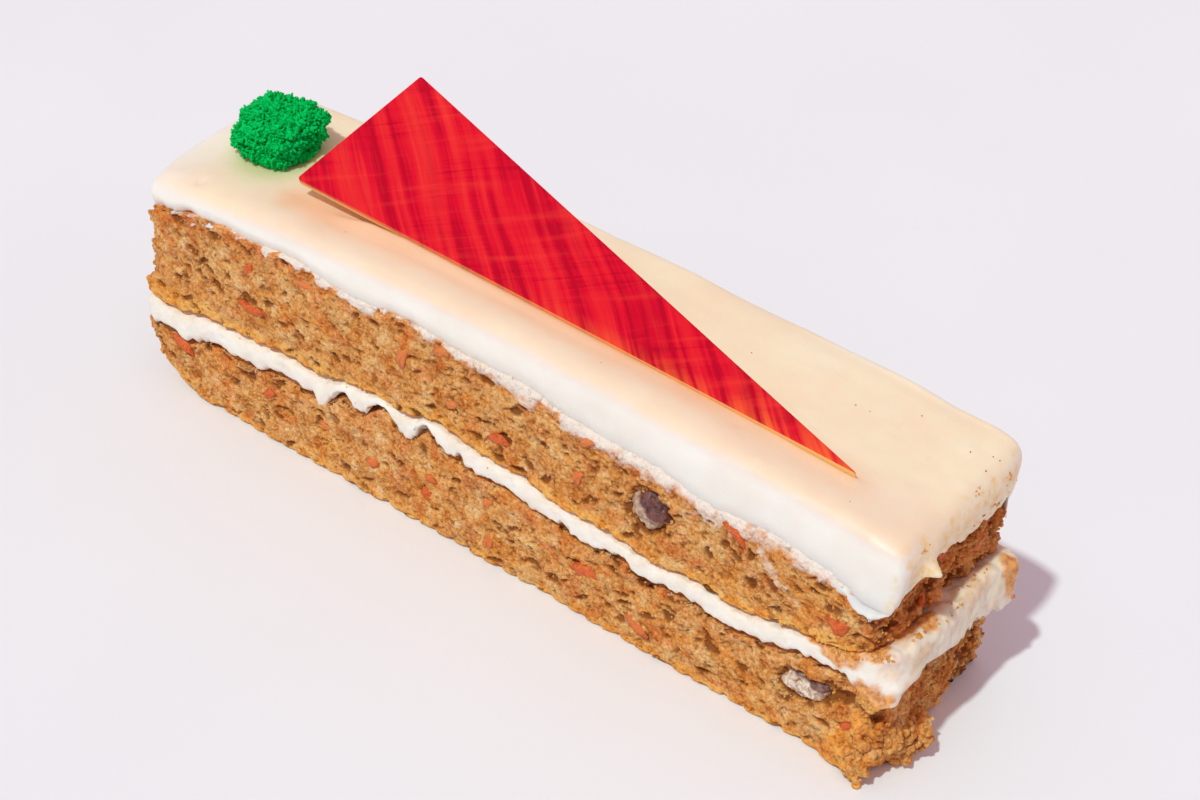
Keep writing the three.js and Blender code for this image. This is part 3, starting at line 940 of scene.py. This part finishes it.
# Small dents and bubbles in the top: x, y, reach, lift
FROSTING_DIMPLES = [
    (-54.7, -11.6, 0.8, -0.45),
    (40.6, -3.5, 0.7, 0.16),
    (34.0, -8.6, 0.8, -0.2),
    (39.5, -12.2, 0.6, 0.14),
    (47.5, 4.5, 1.0, 0.12),
    (57.0, 8.0, 1.3, 0.14),
    (60.0, 2.0, 1.1, 0.16),
]


def plaque_axes():
    """Lengthwise, sideways and upwards directions of the plaque."""
    lengthwise = (PLAQUE_NEAR - PLAQUE_TIP).normalized()
    upwards = (PLAQUE_FAR - PLAQUE_TIP).cross(lengthwise).normalized()
    return lengthwise, upwards.cross(lengthwise), upwards


def on_plaque(points):
    """Each point's place along, across and above the plaque, from its tip."""
    offset = points - np.array(PLAQUE_TIP)
    return [offset @ np.array(axis) for axis in plaque_axes()]


def inside_plaque(points, margin):
    """Which points lie within the plaque, made this much larger."""
    along, across, height = on_plaque(points)
    inside = (height < margin) & (height > -PLAQUE_THICKNESS - margin)
    flat = np.stack([along, across], axis=-1)
    corners = []
    for corner in (PLAQUE_TIP, PLAQUE_NEAR, PLAQUE_FAR):
        step = corner - PLAQUE_TIP
        corners.append(np.array([step.dot(axis) for axis in plaque_axes()[:2]]))
    middle = sum(corners) / 3
    for start, end in zip(corners, corners[1:] + corners[:1]):
        run = end - start
        normal = np.array((-run[1], run[0])) / np.linalg.norm(run)
        if (middle - start) @ normal < 0:
            normal = -normal
        inside &= (flat - start) @ normal > -margin
    return inside


def hang_edge(points, normals):
    """Lets the frosting's lower edge hang down the cut, unevenly. Returns how far each
    point belongs to the sides, and its share of the height from floor to roof."""
    low, high = edges_of_layer("frosting", points)
    x, y, z = points.T  # these follow the points as they are moved
    share = np.clip((z - low) / (high - low), 0, 1)
    near_floor = 1 - rise(share, 0.0, 0.35)
    side = np.clip(rise(np.abs(y), 13.0, 14.6) + rise(np.abs(x), 60.0, 62.0), 0, 1)
    flat = points * (1, 1, 0)
    ragged = soft_noise(flat, 2.2, 41) + 0.8 * soft_noise(flat, 0.95, 42)
    torn = rise(x, 59.5, 61.5)
    skirt = 1.2 + 0.6 * ragged - 0.8 * torn - 0.8 * rise(-x, 49, 57)
    back_corner = rise(x, 59.0, 61.6) * rise(y, 11.8, 13.6)
    skirt += 2.4 * back_corner
    points[:, 2] -= near_floor * (0.4 + side * np.maximum(skirt, 0))
    corner = rise(x, 60.0, 61.4) * (1 - rise(y, -10.0, -8.2))
    hem = 26.2 + 0.8 * (y + HALF_WIDTH) + 0.3 * ragged
    points[:, 2] -= near_floor * corner * np.clip(z - hem, 0, 7)
    tuck = np.clip((low + 0.9 - z) / 1.8, 0, 1.2) * side * (1 - 0.6 * torn)
    tuck = tuck * (1 + 1.4 * back_corner)
    outwards = normals * (1, 1, 0)
    outwards += back_corner[:, None] * (np.array((0.45, 0.89, 0.0)) - outwards)
    points -= outwards * ((0.52 + 0.12 * soft_noise(points, 0.8, 51)) * tuck)[:, None]
    return side, share


def shape_top(points, normals):
    """Drips, dents, soft waves and the rise of the frosting against the plaque. Returns
    how much each point faces up, and how far it is from the plaque's front edge."""
    x, y, z = points.T
    for spot, reach, move in FROSTING_DRIPS:
        points += np.outer(1 - rise(away_from(points, spot), 0, reach), move)
    top = rise(normals[:, 2], 0.5, 0.9)
    for dent_x, dent_y, reach, lift in FROSTING_DIMPLES:
        points[:, 2] += top * lift * bump_at(np.hypot(x - dent_x, y - dent_y), 0, reach)
    wave = 0.16 * soft_noise(points, (9, 5, 9), 43) + 0.07 * soft_noise(points, (3.5, 2.2, 3), 44)
    rim = bump_at(y, 14.2, 0.8) * rise(x, -40, 0) * (0.25 + 0.2 * soft_noise(points, 5, 45))
    points[:, 2] += top * (wave + rim)
    points += normals * ((1 - top) * (0.10 * soft_noise(points, 2.4, 46)))[:, None]
    from_plaque = distance_to_line(points[:, :2], PLAQUE_NEAR.xy, PLAQUE_TIP.xy)
    slope = (PLAQUE_TIP.z - PLAQUE_NEAR.z) / (PLAQUE_TIP.x - PLAQUE_NEAR.x)
    plaque_floor = PLAQUE_NEAR.z + slope * (x - PLAQUE_NEAR.x) - PLAQUE_THICKNESS
    lift = np.clip(plaque_floor + 0.45 - z, 0, 1.2) * (y < PLAQUE_NEAR.y + 0.4)
    lift = lift * rise(x, -36, -26) * (1 - 0.7 * rise(x, 24, 38))
    points[:, 2] += top * lift * (1 - rise(from_plaque, 0.2, 1.5))
    return top, from_plaque


def frosting_layer():
    piece = copy_of_solid("frosting", "frosting_layer")
    cut_out_and_close(piece, inside_plaque(faces_of(piece)[0], POCKET_CLEARANCE * 1.7))
    remesh(piece, FROSTING_VOXEL)
    with editing(piece):
        choose_all()
    smooth_points(piece, 12)
    points, normals = surface_of(piece)
    side, share = hang_edge(points, normals)
    top, from_plaque = shape_top(points, normals)
    write_points(piece, points)

    x, y, up = points[:, 0], points[:, 1], normals[:, 2]
    inward = np.minimum(HALF_WIDTH - np.abs(y), HALF_LENGTH - np.abs(x))
    glaze = rise(inward + 0.6 * soft_noise(points, 6, 47), -1.2, 1.8) * rise(up, 0.32, 0.82)
    # the top is less peach towards the left end
    glaze *= 1 - 0.55 * rise(-x, 52, 62)
    torn_side = 0.55 * rise(x, 60.5, 62.0) * rise(y, -14, -9)
    store(piece, "glaze", np.maximum(glaze, torn_side))
    # painted shade: the front of the top darkened slightly, less at the left end
    store(piece, "front_shade", rise(-y, 1.0, 9.0) * rise(up, 0.15, 0.6) * (1 - 0.5 * rise(-x, 38, 54)))
    store(piece, "green_tint", 0.6 * (1 - rise(away_from(points, TUFT_MIDDLE), 5.5, 10.0)))
    gold = rise(x + 0.9 * soft_noise(points, 4, 48), 60.4, 62.0)
    gold = gold * rise(soft_noise(points, 1.6, 49) + 0.6 * soft_noise(points, 0.6, 50), 0.15, 0.7)
    right_side = rise(x, 61.0, 62.4) * rise(y, -14.5, -11)
    store(piece, "gold", np.clip(0.95 * gold + 0.75 * right_side, 0, 1))
    # painted contact shadow and reflected red light along the plaque's front edge
    near_plaque_shade = (1 - rise(from_plaque, 0.2, 4.6)) * top
    store(piece, "plaque_shadow_and_red_light", 0.75 * near_plaque_shade * (1 - 0.6 * rise(x, 20, 50)))
    store(piece, "ragged", side * (1 - rise(share, 0.1, 0.6)))
    return piece


# ---- plaque ----


def plaque():
    piece = copy_of_solid("carrot_plaque", "red_plaque")
    with editing(piece):
        bpy.ops.mesh.select_all(action="DESELECT")
        bpy.ops.mesh.select_mode(type="EDGE")
        bpy.ops.mesh.edges_select_sharp(sharpness=math.radians(50))
        bpy.ops.mesh.bevel(offset=PLAQUE_BEVEL * MM, segments=2, profile=0.6, affect="EDGES")
    # its face is split, so that the warmer colour of its tip can fade
    subdivide(piece, faces_of(piece)[1] @ np.array(plaque_axes()[2]) > 0.9, 11)
    along, across, height = on_plaque(read_points(piece))
    glow = (1 - rise(along, 4, 26)) * (1 - 0.5 * rise(-across, 0.5, 4))
    low_edge = 1 - rise(np.abs(across), 0.0, 2.2)
    store(piece, "tip_glow", np.clip(0.7 * glow + 0.45 * low_edge * (1 - rise(along, 30, 60)), 0, 1))
    # more rim colour, bare and painted as lit, at the tip and the left end
    bare_and_lit = 0.15 + 0.8 * np.clip((1 - rise(along, 10, 24)) + rise(along, 74, 84), 0, 1)
    red_reaches = np.where(along < 26, -0.10, -0.16)
    store(piece, "rim", np.where(height < red_reaches, bare_and_lit, 0.0))
    mesh = piece.data
    corners = np.empty(len(mesh.loops), np.int32)
    mesh.loops.foreach_get("vertex_index", corners)
    sheet = mesh.uv_layers.new(name="sheet")
    sheet.data.foreach_set("uv", np.stack([along, across], axis=-1)[corners].ravel())
    return piece


# ---- tuft and walnuts ----


def knobbly(node, name, voxel, seed, sizes, depths, shrink):
    """A finely remeshed copy of a small solid with lumps of these sizes."""
    piece = copy_of_solid(node, name)
    remesh(piece, voxel)
    points, normals = surface_of(piece)
    height = np.full(len(points), -shrink)
    for number, (size, depth) in enumerate(zip(sizes, depths)):
        height += depth * (0.5 - from_grain(points, size, seed + 7 * number))
    write_points(piece, points + normals * height[:, None])
    # painted shade for the hollows between the lumps
    store(piece, "hollow_shade", np.clip(0.4 - (height + shrink) / max(depths), 0, 1))
    return piece


def tuft_body():
    piece = knobbly("green_tuft", "green_tuft_body", TUFT_VOXEL, 61, (1.9, 0.8), (1.0, 0.5), shrink=0.45)
    points = read_points(piece)
    middle = np.array(TUFT_MIDDLE[:2])
    points[:, :2] = middle + TUFT_WIDTH * (points[:, :2] - middle)
    foot = points[:, 2].min()
    points[:, 2] = foot + TUFT_HEIGHT * (points[:, 2] - foot)
    write_points(piece, points)
    return piece


def walnut(node, name, middle, seed, shrink):
    """A nut, and its points' places from its middle."""
    piece = knobbly(node, name, NUT_VOXEL, seed, (2.3, 1.0), (0.8, 0.35), shrink)
    return piece, read_points(piece) - np.array(middle)


# ---- making the slice ----

# Holes that the front cut has opened: x, z, radius, stretch, tilt
UPPER_HOLES = [
    (-49.0, 30.0, 0.55, 1.9, -0.5),
    (-53.9, 25.2, 0.55, 2.6, -0.2),
    (-38.7, 23.2, 0.5, 2.2, 0.2),
    (-33.1, 21.0, 0.55, 1.8, -0.4),
    (-24.9, 21.2, 0.5, 2.0, 0.1),
    (-42.5, 22.3, 0.6, 2.4, 0.0),
    (-21.4, 31.2, 0.4, 2.6, -0.7),
    (2.9, 22.0, 0.7, 2.3, -0.1),
    (-16.4, 31.5, 0.4, 2.4, 0.6),
    (41.6, 24.6, 0.75, 1.6, 1.3),
    (42.3, 20.4, 0.7, 1.5, 0.8),
    (37.6, 24.0, 0.5, 1.7, 0.4),
    (52.0, 26.0, 0.6, 1.8, 0.4),
    (30.5, 24.6, 0.5, 2.2, 0.2),
]
LOWER_HOLES = [
    (-43.5, 8.9, 0.6, 2.2, 0.0),
    (-29.0, 9.4, 0.5, 2.4, -0.3),
    (5.2, 8.1, 0.6, 1.9, 0.2),
    (21.6, 10.6, 0.55, 2.0, -0.4),
    (23.3, 7.6, 0.5, 1.6, 0.2),
    (30.7, 7.9, 0.75, 1.3, 0.5),
    (56.6, 10.4, 1.3, 1.8, 0.3),
    (55.2, 11.4, 0.8, 1.5, -0.3),
    (43.0, 4.5, 0.5, 1.6, 0.0),
]

upper, upper_wall = sponge_layer(
    "upper_sponge",
    "upper_sponge_crumb",
    "walnut_upper",
    crust=upper_crust,
    film=frosting_film,
    seed=11,
    cuts=9,
    holes=2300,
    wanted_holes=UPPER_HOLES,
)
lower, lower_wall = sponge_layer(
    "lower_sponge",
    "lower_sponge_crumb",
    "walnut_lower",
    crust=lower_crust,
    film=cream_film,
    seed=23,
    cuts=11,
    holes=2000,
    wanted_holes=LOWER_HOLES,
)
cream = cream_layer()
frosting = frosting_layer()
red_plaque = plaque()
tuft = tuft_body()
walnut_a, places = walnut("walnut_upper", "walnut_piece_upper", UPPER_NUT, seed=91, shrink=0.1)
store(walnut_a, "skin", rise(places[:, 2] + 0.6 * places[:, 0] + 0.8 * soft_noise(places, 1.4, 3), 0.0, 0.6))
store(walnut_a, "pale_flesh", np.zeros(len(places)))
walnut_b, places = walnut("walnut_lower", "walnut_piece_lower", LOWER_NUT, seed=95, shrink=0.05)
high_up = places[:, 2] + 0.12 * places[:, 0] + 0.4 * soft_noise(places, 1.1, 4)
store(walnut_b, "skin", 0.9 * rise(high_up, 0.8, 1.3))
# the lower nut's flesh is paler
store(walnut_b, "pale_flesh", np.ones(len(places)))

sponge, moss, nut_finish = sponge_finish(), tuft_finish(), walnut_finish()
dress(upper, sponge, "sponge", "upper_sponge")
dress(lower, sponge, "sponge", "lower_sponge")
dress(cream, cream_finish(), "cream", "cream_filling")
dress(frosting, frosting_finish(), "frosting", "frosting")
dress(red_plaque, plaque_finish(), "plaque", "carrot_plaque", crisp=True)
dress(tuft, moss, "tuft", "green_tuft")
dress(walnut_a, nut_finish, "walnut", "walnut_upper")
dress(walnut_b, nut_finish, "walnut", "walnut_lower")

# ---- small things ----


def small_shape(start, seed, splits=0, unevenness=0.15, **sizes):
    """Points and faces of one grain, clump, spike or shred, about one millimetre across:
    a plain shape in these sizes, split this often and then made uneven."""
    let_go()
    start(**sizes)
    piece = bpy.context.object
    with editing(piece):
        choose_all()
        if splits:
            bpy.ops.mesh.subdivide(number_cuts=splits)
        bpy.ops.transform.vertex_random(offset=unevenness, uniform=0.0, normal=0.0, seed=seed)
    mesh = piece.data
    base = np.array([tuple(v.co) for v in mesh.vertices])
    faces = [tuple(p.vertices) for p in mesh.polygons]
    bpy.data.objects.remove(piece)
    bpy.data.meshes.remove(mesh)
    return base, faces


def one_piece(name, copies, faces, tints):
    """One piece from many copies of a small shape, none of it below the table."""
    per = len(copies[0])
    points = (above_table(np.concatenate(copies)) + SLICE_MIDDLE) * MM
    mesh = bpy.data.meshes.new(name)
    all_faces = [tuple(corner + per * n for corner in face) for n in range(len(copies)) for face in faces]
    mesh.from_pydata(points, [], all_faces)
    mesh.update()
    piece = in_scene(name, mesh)
    store(piece, "tint", np.repeat(tints, per))
    return piece


def scatter(name, spots, outs, sizes, shape, rng, sink, upright=0.0):
    """Sets copies of a small shape on these spots, turned at random, as one piece."""
    base, faces = shape
    count = len(spots)
    axis = rng.normal(size=(count, 3))
    axis /= np.linalg.norm(axis, axis=1)[:, None]
    turn = rng.uniform(0, 2 * math.pi, count)
    copies = []
    for spot, out, size, direction, angle in zip(spots, outs, sizes, axis, turn):
        if upright:
            lean = Vector(np.asarray(out) + direction * (1 - upright)).normalized()
            turned = lean.to_track_quat("Z", "Y").to_matrix() @ Matrix.Rotation(angle, 3, "Z")
        else:
            turned = Matrix.Rotation(angle, 3, Vector(direction))
        local = base * size @ np.array(turned).T
        copies.append(local + spot + np.asarray(out) * size.mean() * (0.5 - sink))
    return one_piece(name, copies, faces, rng.random(count))


def plain(piece, *labels):
    """Gives a piece these finish values at nothing."""
    for label in labels:
        store(piece, label, np.zeros(len(piece.data.vertices)))


def values_at(body, label, picks):
    """What a finished piece keeps under this name at these points."""
    values = np.empty(len(body.data.vertices), np.float32)
    body.data.attributes[label].data.foreach_get("value", values)
    return values[picks]


CRUMBS_PER_LAYER = 8000
CRUMB_FLOOR = 0.6  # no loose crumb is lower than this


def loose_crumbs(body, on_wall, name, seed):
    """Loose crumbs on a layer's walls, in the crumb's own tones and few in its holes."""
    rng = np.random.default_rng(seed)
    points, normals = surface_of(body)
    high_enough = on_wall[points[on_wall][:, 2] > CRUMB_FLOOR]
    hollow_shade, blush = (values_at(body, label, high_enough) for label in ("hollow_shade", "blush"))
    chance = np.clip(1.2 - hollow_shade, 0.05, 1) + blush
    picks = rng.choice(high_enough, CRUMBS_PER_LAYER, replace=False, p=chance / chance.sum())
    sizes = np.clip(rng.lognormal(-1.05, 0.4, CRUMBS_PER_LAYER), 0.2, 1.0)[:, None]
    sizes = sizes * rng.uniform(0.7, 1.3, (CRUMBS_PER_LAYER, 3))
    crumbs = scatter(name, points[picks], normals[picks], sizes, grain, rng, sink=0.7)
    plain(crumbs, "hollow_shade")
    for value in CRUMB_VALUES[1:]:
        store(crumbs, value, np.repeat(values_at(body, value, picks), len(grain[0])))
    dress(crumbs, sponge, "sponge")


SUGAR_GRAINS = 2600


def sugar_grains():
    rng = np.random.default_rng(103)
    points, normals = surface_of(tuft)
    above = np.flatnonzero(points[:, 2] > points[:, 2].min() + 0.3)
    picks = rng.choice(above, SUGAR_GRAINS, replace=False)
    sizes = rng.uniform((0.6, 0.6, 0.6), (1.2, 1.2, 1.25), (SUGAR_GRAINS, 3))
    start = bpy.ops.mesh.primitive_cone_add
    spike = small_shape(start, seed=8, splits=1, vertices=5, radius1=0.36, radius2=0.14, depth=1.0)
    spots, outs = points[picks], normals[picks]
    spikes = scatter("green_tuft_spikes", spots, outs, sizes, spike, rng, sink=0.35, upright=0.3)
    plain(spikes, "hollow_shade")
    dress(spikes, moss, "tuft")


def nearest_on(body, places):
    """The nearest spot on a finished piece to each place, and which way it faces."""
    tree = tree_of(body)
    hits = [tree.find_nearest(metres(place)) for place in places]
    spots = np.array([np.array(hit[0]) / MM - SLICE_MIDDLE for hit in hits])
    return spots, np.array([np.array(hit[1]) for hit in hits])


# Golden crumbs that stick to the sides and the torn edges: piece, middle of the patch,
# its half sizes, how many, and how large
STUCK_CRUMBS = [
    (frosting, (62.5, 3.1, 36.0), (0.5, 0.9, 0.4), 9, 0.35),
    (frosting, (62.5, 10.0, 33.4), (0.4, 1.0, 0.6), 10, 0.4),
    (frosting, (62.8, -9.7, 34.6), (0.5, 1.2, 0.4), 6, 0.3),
    (frosting, (62.8, 6.0, 30.6), (0.5, 5.0, 0.5), 22, 0.4),
    (cream, (55.8, -15.2, 18.0), (2.0, 0.5, 0.8), 44, 0.45),
    (cream, (61.0, -14.6, 20.2), (0.8, 0.8, 0.8), 34, 0.5),
    (cream, (60.4, -15.6, 11.8), (1.8, 0.6, 1.0), 100, 0.55),
    (cream, (63.6, -8.2, 22.2), (0.5, 0.8, 0.6), 26, 0.45),
    (cream, (64.0, -2.0, 20.5), (0.6, 1.6, 0.4), 10, 0.4),
    (cream, (64.4, 13.8, 17.5), (0.5, 0.7, 1.8), 50, 0.42),
    (cream, (63.0, 4.0, 21.6), (0.4, 7.0, 0.3), 22, 0.4),
    (cream, (63.5, -1.0, 14.2), (0.6, 8.0, 0.5), 60, 0.5),
    (cream, (10.0, -15.0, 15.0), (40.0, 0.4, 2.0), 14, 0.28),
    (cream, (0.0, 15.0, 15.0), (45.0, 0.4, 1.6), 70, 0.4),
    (cream, (-64.5, 0.0, 12.0), (0.4, 9.0, 1.6), 24, 0.4),
    (lower, (62.0, -15.5, 5.0), (1.8, 1.8, 3.0), 260, 1.05),
    (lower, (64.5, -9.0, 4.0), (1.8, 2.8, 2.6), 220, 0.9),
    (lower, (63.5, 2.0, 8.0), (1.6, 6.0, 3.4), 280, 0.65),
    (lower, (62.5, 12.5, 9.5), (1.2, 2.5, 3.6), 130, 0.65),
    (upper, (62.0, -9.0, 26.0), (1.0, 4.0, 2.6), 220, 0.6),
    (upper, (61.5, 5.0, 24.5), (1.0, 6.0, 3.4), 240, 0.6),
    (upper, (-63.5, -14.0, 22.0), (1.0, 0.8, 5.0), 60, 0.6),
    (lower, (-62.5, -13.5, 6.5), (1.2, 1.2, 2.2), 60, 0.6),
]


def stuck_crumbs():
    rng = np.random.default_rng(105)
    start = bpy.ops.mesh.primitive_ico_sphere_add
    clump = small_shape(start, seed=21, unevenness=0.22, subdivisions=2, radius=0.46)
    gathered = []
    for body, middle, spread, count, size in STUCK_CRUMBS:
        places = np.array(middle) + rng.normal(0, 0.7, (count, 3)) * np.array(spread)
        found, facing = nearest_on(body, places)
        across = size * rng.lognormal(-0.25, 0.38, (count, 1)) * rng.uniform(0.65, 1.35, (count, 3))
        inside = found[:, 2] > 0.55 * across.max(axis=1)
        baked = (0.85 if body in (frosting, cream) else 0.35) + rng.uniform(-0.35, 0.15, inside.sum())
        # crumbs stuck on the upper torn end get its redder colour and painted shade
        end_tone_and_shade = (0.75 if body is upper else 0.3) + rng.uniform(-0.3, 0.25, inside.sum())
        gathered.append((found[inside], facing[inside], across[inside], baked, end_tone_and_shade))
    spots, outs, sizes, skins, shades = (np.concatenate(values) for values in zip(*gathered))
    stuck = scatter("stuck_crumbs", spots, outs, sizes, clump, rng, sink=0.68)
    plain(stuck, "hollow_shade", "film", "blush")
    store(stuck, "crust", np.repeat(np.clip(skins, 0, 1), len(clump[0])))
    store(stuck, "torn", np.repeat(np.clip(shades, 0, 1), len(clump[0])))
    dress(stuck, sponge, "sponge")


# Dark specks on the frosting: x, y, size
SPECKS = [
    (49.5, 9.1, 0.26),
    (42.3, 4.9, 0.24),
    (44.3, 5.1, 0.18),
    (57.8, 7.3, 0.24),
    (60.3, 9.0, 0.22),
    (61.4, 6.2, 0.3),
    (61.8, 9.3, 0.24),
    (26.7, 4.4, 0.22),
    (-30.0, -9.5, 0.16),
    (14.0, -10.5, 0.16),
    (52.0, -11.0, 0.16),
]
FROSTING_TOP = 37.5  # each speck lies on the frosting, nearest to this height


def specks():
    found, facing = nearest_on(frosting, [(x, y, FROSTING_TOP) for x, y, _ in SPECKS])
    sizes = np.outer([size for *_, size in SPECKS], (1.0, 0.8, 0.6))
    piece = scatter("frosting_specks", found, facing, sizes, grain, np.random.default_rng(106), sink=0.3)
    dress(piece, speck_finish(), "frosting")


# Carrot shreds that the front cut shows: x, z, length, width, tilt
FRONT_SHREDS = [
    (-42.8, 27.1, 2.6, 1.4, 1.2),
    (-32.5, 29.3, 7.0, 1.3, 0.1),
    (-42.1, 21.4, 5.0, 1.5, 0.0),
    (-14.4, 26.5, 3.6, 1.6, 1.3),
    (-8.1, 30.7, 3.2, 1.2, 0.4),
    (-6.4, 22.9, 2.2, 1.2, 0.3),
    (1.8, 21.2, 3.6, 1.4, 0.1),
    (15.3, 22.5, 2.2, 1.4, 1.2),
    (16.2, 28.7, 2.4, 1.1, 0.5),
    (39.1, 26.6, 4.0, 1.3, -0.6),
    (55.0, 22.2, 3.4, 2.4, 0.3),
    (-55.8, 7.9, 4.4, 1.6, -0.4),
    (-38.8, 7.7, 2.2, 1.4, 0.6),
    (-28.4, 7.4, 3.2, 1.4, 0.0),
    (-10.2, 5.8, 2.2, 1.9, 1.2),
    (0.8, 9.9, 1.8, 1.2, 0.9),
    (1.2, 4.0, 2.6, 1.6, 1.3),
    (17.4, 7.6, 5.0, 2.2, 0.1),
    (26.3, 4.0, 4.6, 1.3, -0.5),
    (58.5, 6.0, 2.2, 1.6, 0.9),
]
BEFORE_FRONT = -30
OTHER_SHREDS = 60  # picked on each layer
LEFT_OUT_IN_FRONT = 0.9  # of these, on the front cut
CLEAR_OF_NUTS = 5.5


def spots_for_shreds(rng):
    """Place, facing, length, width and tilt of the listed shreds and of some others."""
    trees = [tree_of(upper), tree_of(lower)]
    found = []
    for x, z, *shape in FRONT_SHREDS:
        hits = [tree.ray_cast(metres((x, BEFORE_FRONT, z)), Vector((0, 1, 0))) for tree in trees]
        hits = [hit for hit in hits if hit[0] is not None]
        if hits:
            spot = min(hits, key=lambda hit: hit[3])[0]
            found.append((np.array(spot) / MM - SLICE_MIDDLE, np.array((0.0, -1.0, 0.0)), *shape))
    for body, on_wall in ((upper, upper_wall), (lower, lower_wall)):
        points, normals = surface_of(body)
        for pick in rng.choice(on_wall, OTHER_SHREDS, replace=False):
            spot = points[pick]
            if spot[1] < -13.5 and rng.random() < LEFT_OUT_IN_FRONT:
                continue
            if min(np.linalg.norm(spot - np.array(nut)) for nut in (UPPER_NUT, LOWER_NUT)) < CLEAR_OF_NUTS:
                continue
            if spot[2] < 3 or (abs(spot[0]) > 59 and spot[2] < 11):
                continue
            length = rng.uniform(1.4, 4.2)
            out = normals[pick] * (1, 1, 0.2)
            out = out / max(1e-6, np.linalg.norm(out))
            found.append((spot, out, length, rng.uniform(0.8, 1.5), rng.normal(0, 0.5)))
    return found


def carrot_shreds():
    rng = np.random.default_rng(104)
    start = bpy.ops.mesh.primitive_cylinder_add
    base, faces = small_shape(start, seed=12, splits=2, vertices=8, radius=0.5, depth=1.0)
    copies, tints = [], []
    for spot, out, length, width, tilt in spots_for_shreds(rng):
        along = np.cross((0.0, 0.0, 1.0), out)
        along /= np.linalg.norm(along)
        run = along * math.cos(tilt) + np.cross(out, along) * math.sin(tilt)
        side = np.cross(out, run)
        local = base.copy()
        local[:, 0] += 0.25 * rng.normal() * (1 - (2 * local[:, 2]) ** 2)
        tip = 1 - 0.55 * np.abs(2 * local[:, 2]) ** 3
        placed = spot - out * 0.03 * width + np.outer(local[:, 2] * length, run)
        placed = placed + np.outer(local[:, 0] * width * tip, side)
        copies.append(placed + np.outer(local[:, 1] * 0.62 * width * tip, out))
        tints.append(rng.random())
    piece = one_piece("carrot_shreds", copies, faces, tints)
    with editing(piece):
        choose_all()
        bpy.ops.mesh.normals_make_consistent(inside=False)
    dress(piece, carrot_finish(), "sponge")


grain = small_shape(bpy.ops.mesh.primitive_ico_sphere_add, seed=5, subdivisions=1, radius=0.5)
loose_crumbs(upper, upper_wall, "loose_crumbs_upper", seed=101)
loose_crumbs(lower, lower_wall, "loose_crumbs_lower", seed=102)
sugar_grains()
stuck_crumbs()
specks()
carrot_shreds()

# ---- table, light and camera ----

TABLE_SIZE = 4.0  # metres
TABLE_DROP = 0.05
let_go()
bpy.ops.mesh.primitive_plane_add(size=TABLE_SIZE, location=(0, 0, -TABLE_DROP * MM))
table = bpy.context.object
table.name = "table"
table_finish = Finish("pale table")
clouds = table_finish.noise(60.0, 2.0)
pale = table_finish.ramp(clouds, (0.3, (0.875, 0.883, 0.91)), (0.7, (0.895, 0.903, 0.93)))
table_finish.set(Base_Color=pale, Roughness=0.45)
table.data.materials.append(table_finish.material)

LAMP_DIRECTION = Vector((0.10, 22.0, -36.0))
lamp = bpy.data.lights.new("key", "SUN")
lamp.energy = 1.75
lamp.angle = math.radians(2.6)
lamp.color = (0.99, 1.17, 1.10)
key_light = in_scene("key", lamp)
key_light.rotation_mode = "QUATERNION"
key_light.rotation_quaternion = LAMP_DIRECTION.to_track_quat("-Z", "Y")

studio = bpy.data.worlds.new("studio")
studio.use_nodes = True
glow = studio.node_tree.nodes["Background"].inputs
glow["Color"].default_value = (0.945, 0.72, 0.815, 1)
glow["Strength"].default_value = 0.56
bpy.context.scene.world = studio

CAMERA_AZIMUTH = math.radians(34.506)
CAMERA_ELEVATION = math.radians(37.031)
CAMERA_ROLL = math.radians(5.174)
CAMERA_PLACE = (164.03, -228.27, 231.48)
CAMERA_LENS = 78.39
SENSOR_WIDTH = 36
sin_a, cos_a = math.sin(CAMERA_AZIMUTH), math.cos(CAMERA_AZIMUTH)
sin_e, cos_e = math.sin(CAMERA_ELEVATION), math.cos(CAMERA_ELEVATION)
right = Vector((cos_a, sin_a, 0))
back = Vector((sin_a * cos_e, -cos_a * cos_e, sin_e))
up = back.cross(right)
rolled_right = right * math.cos(CAMERA_ROLL) + up * math.sin(CAMERA_ROLL)
rolled_up = up * math.cos(CAMERA_ROLL) - right * math.sin(CAMERA_ROLL)
lens = bpy.data.cameras.new("camera")
lens.lens = CAMERA_LENS
lens.sensor_width = SENSOR_WIDTH
lens.clip_start = 10 * MM
camera = in_scene("camera", lens)
turned = Matrix((rolled_right, rolled_up, back)).transposed().to_4x4()
camera.matrix_world = Matrix.Translation(metres(CAMERA_PLACE)) @ turned
bpy.context.scene.camera = camera
bpy.context.scene.view_settings.view_transform = "Standard"
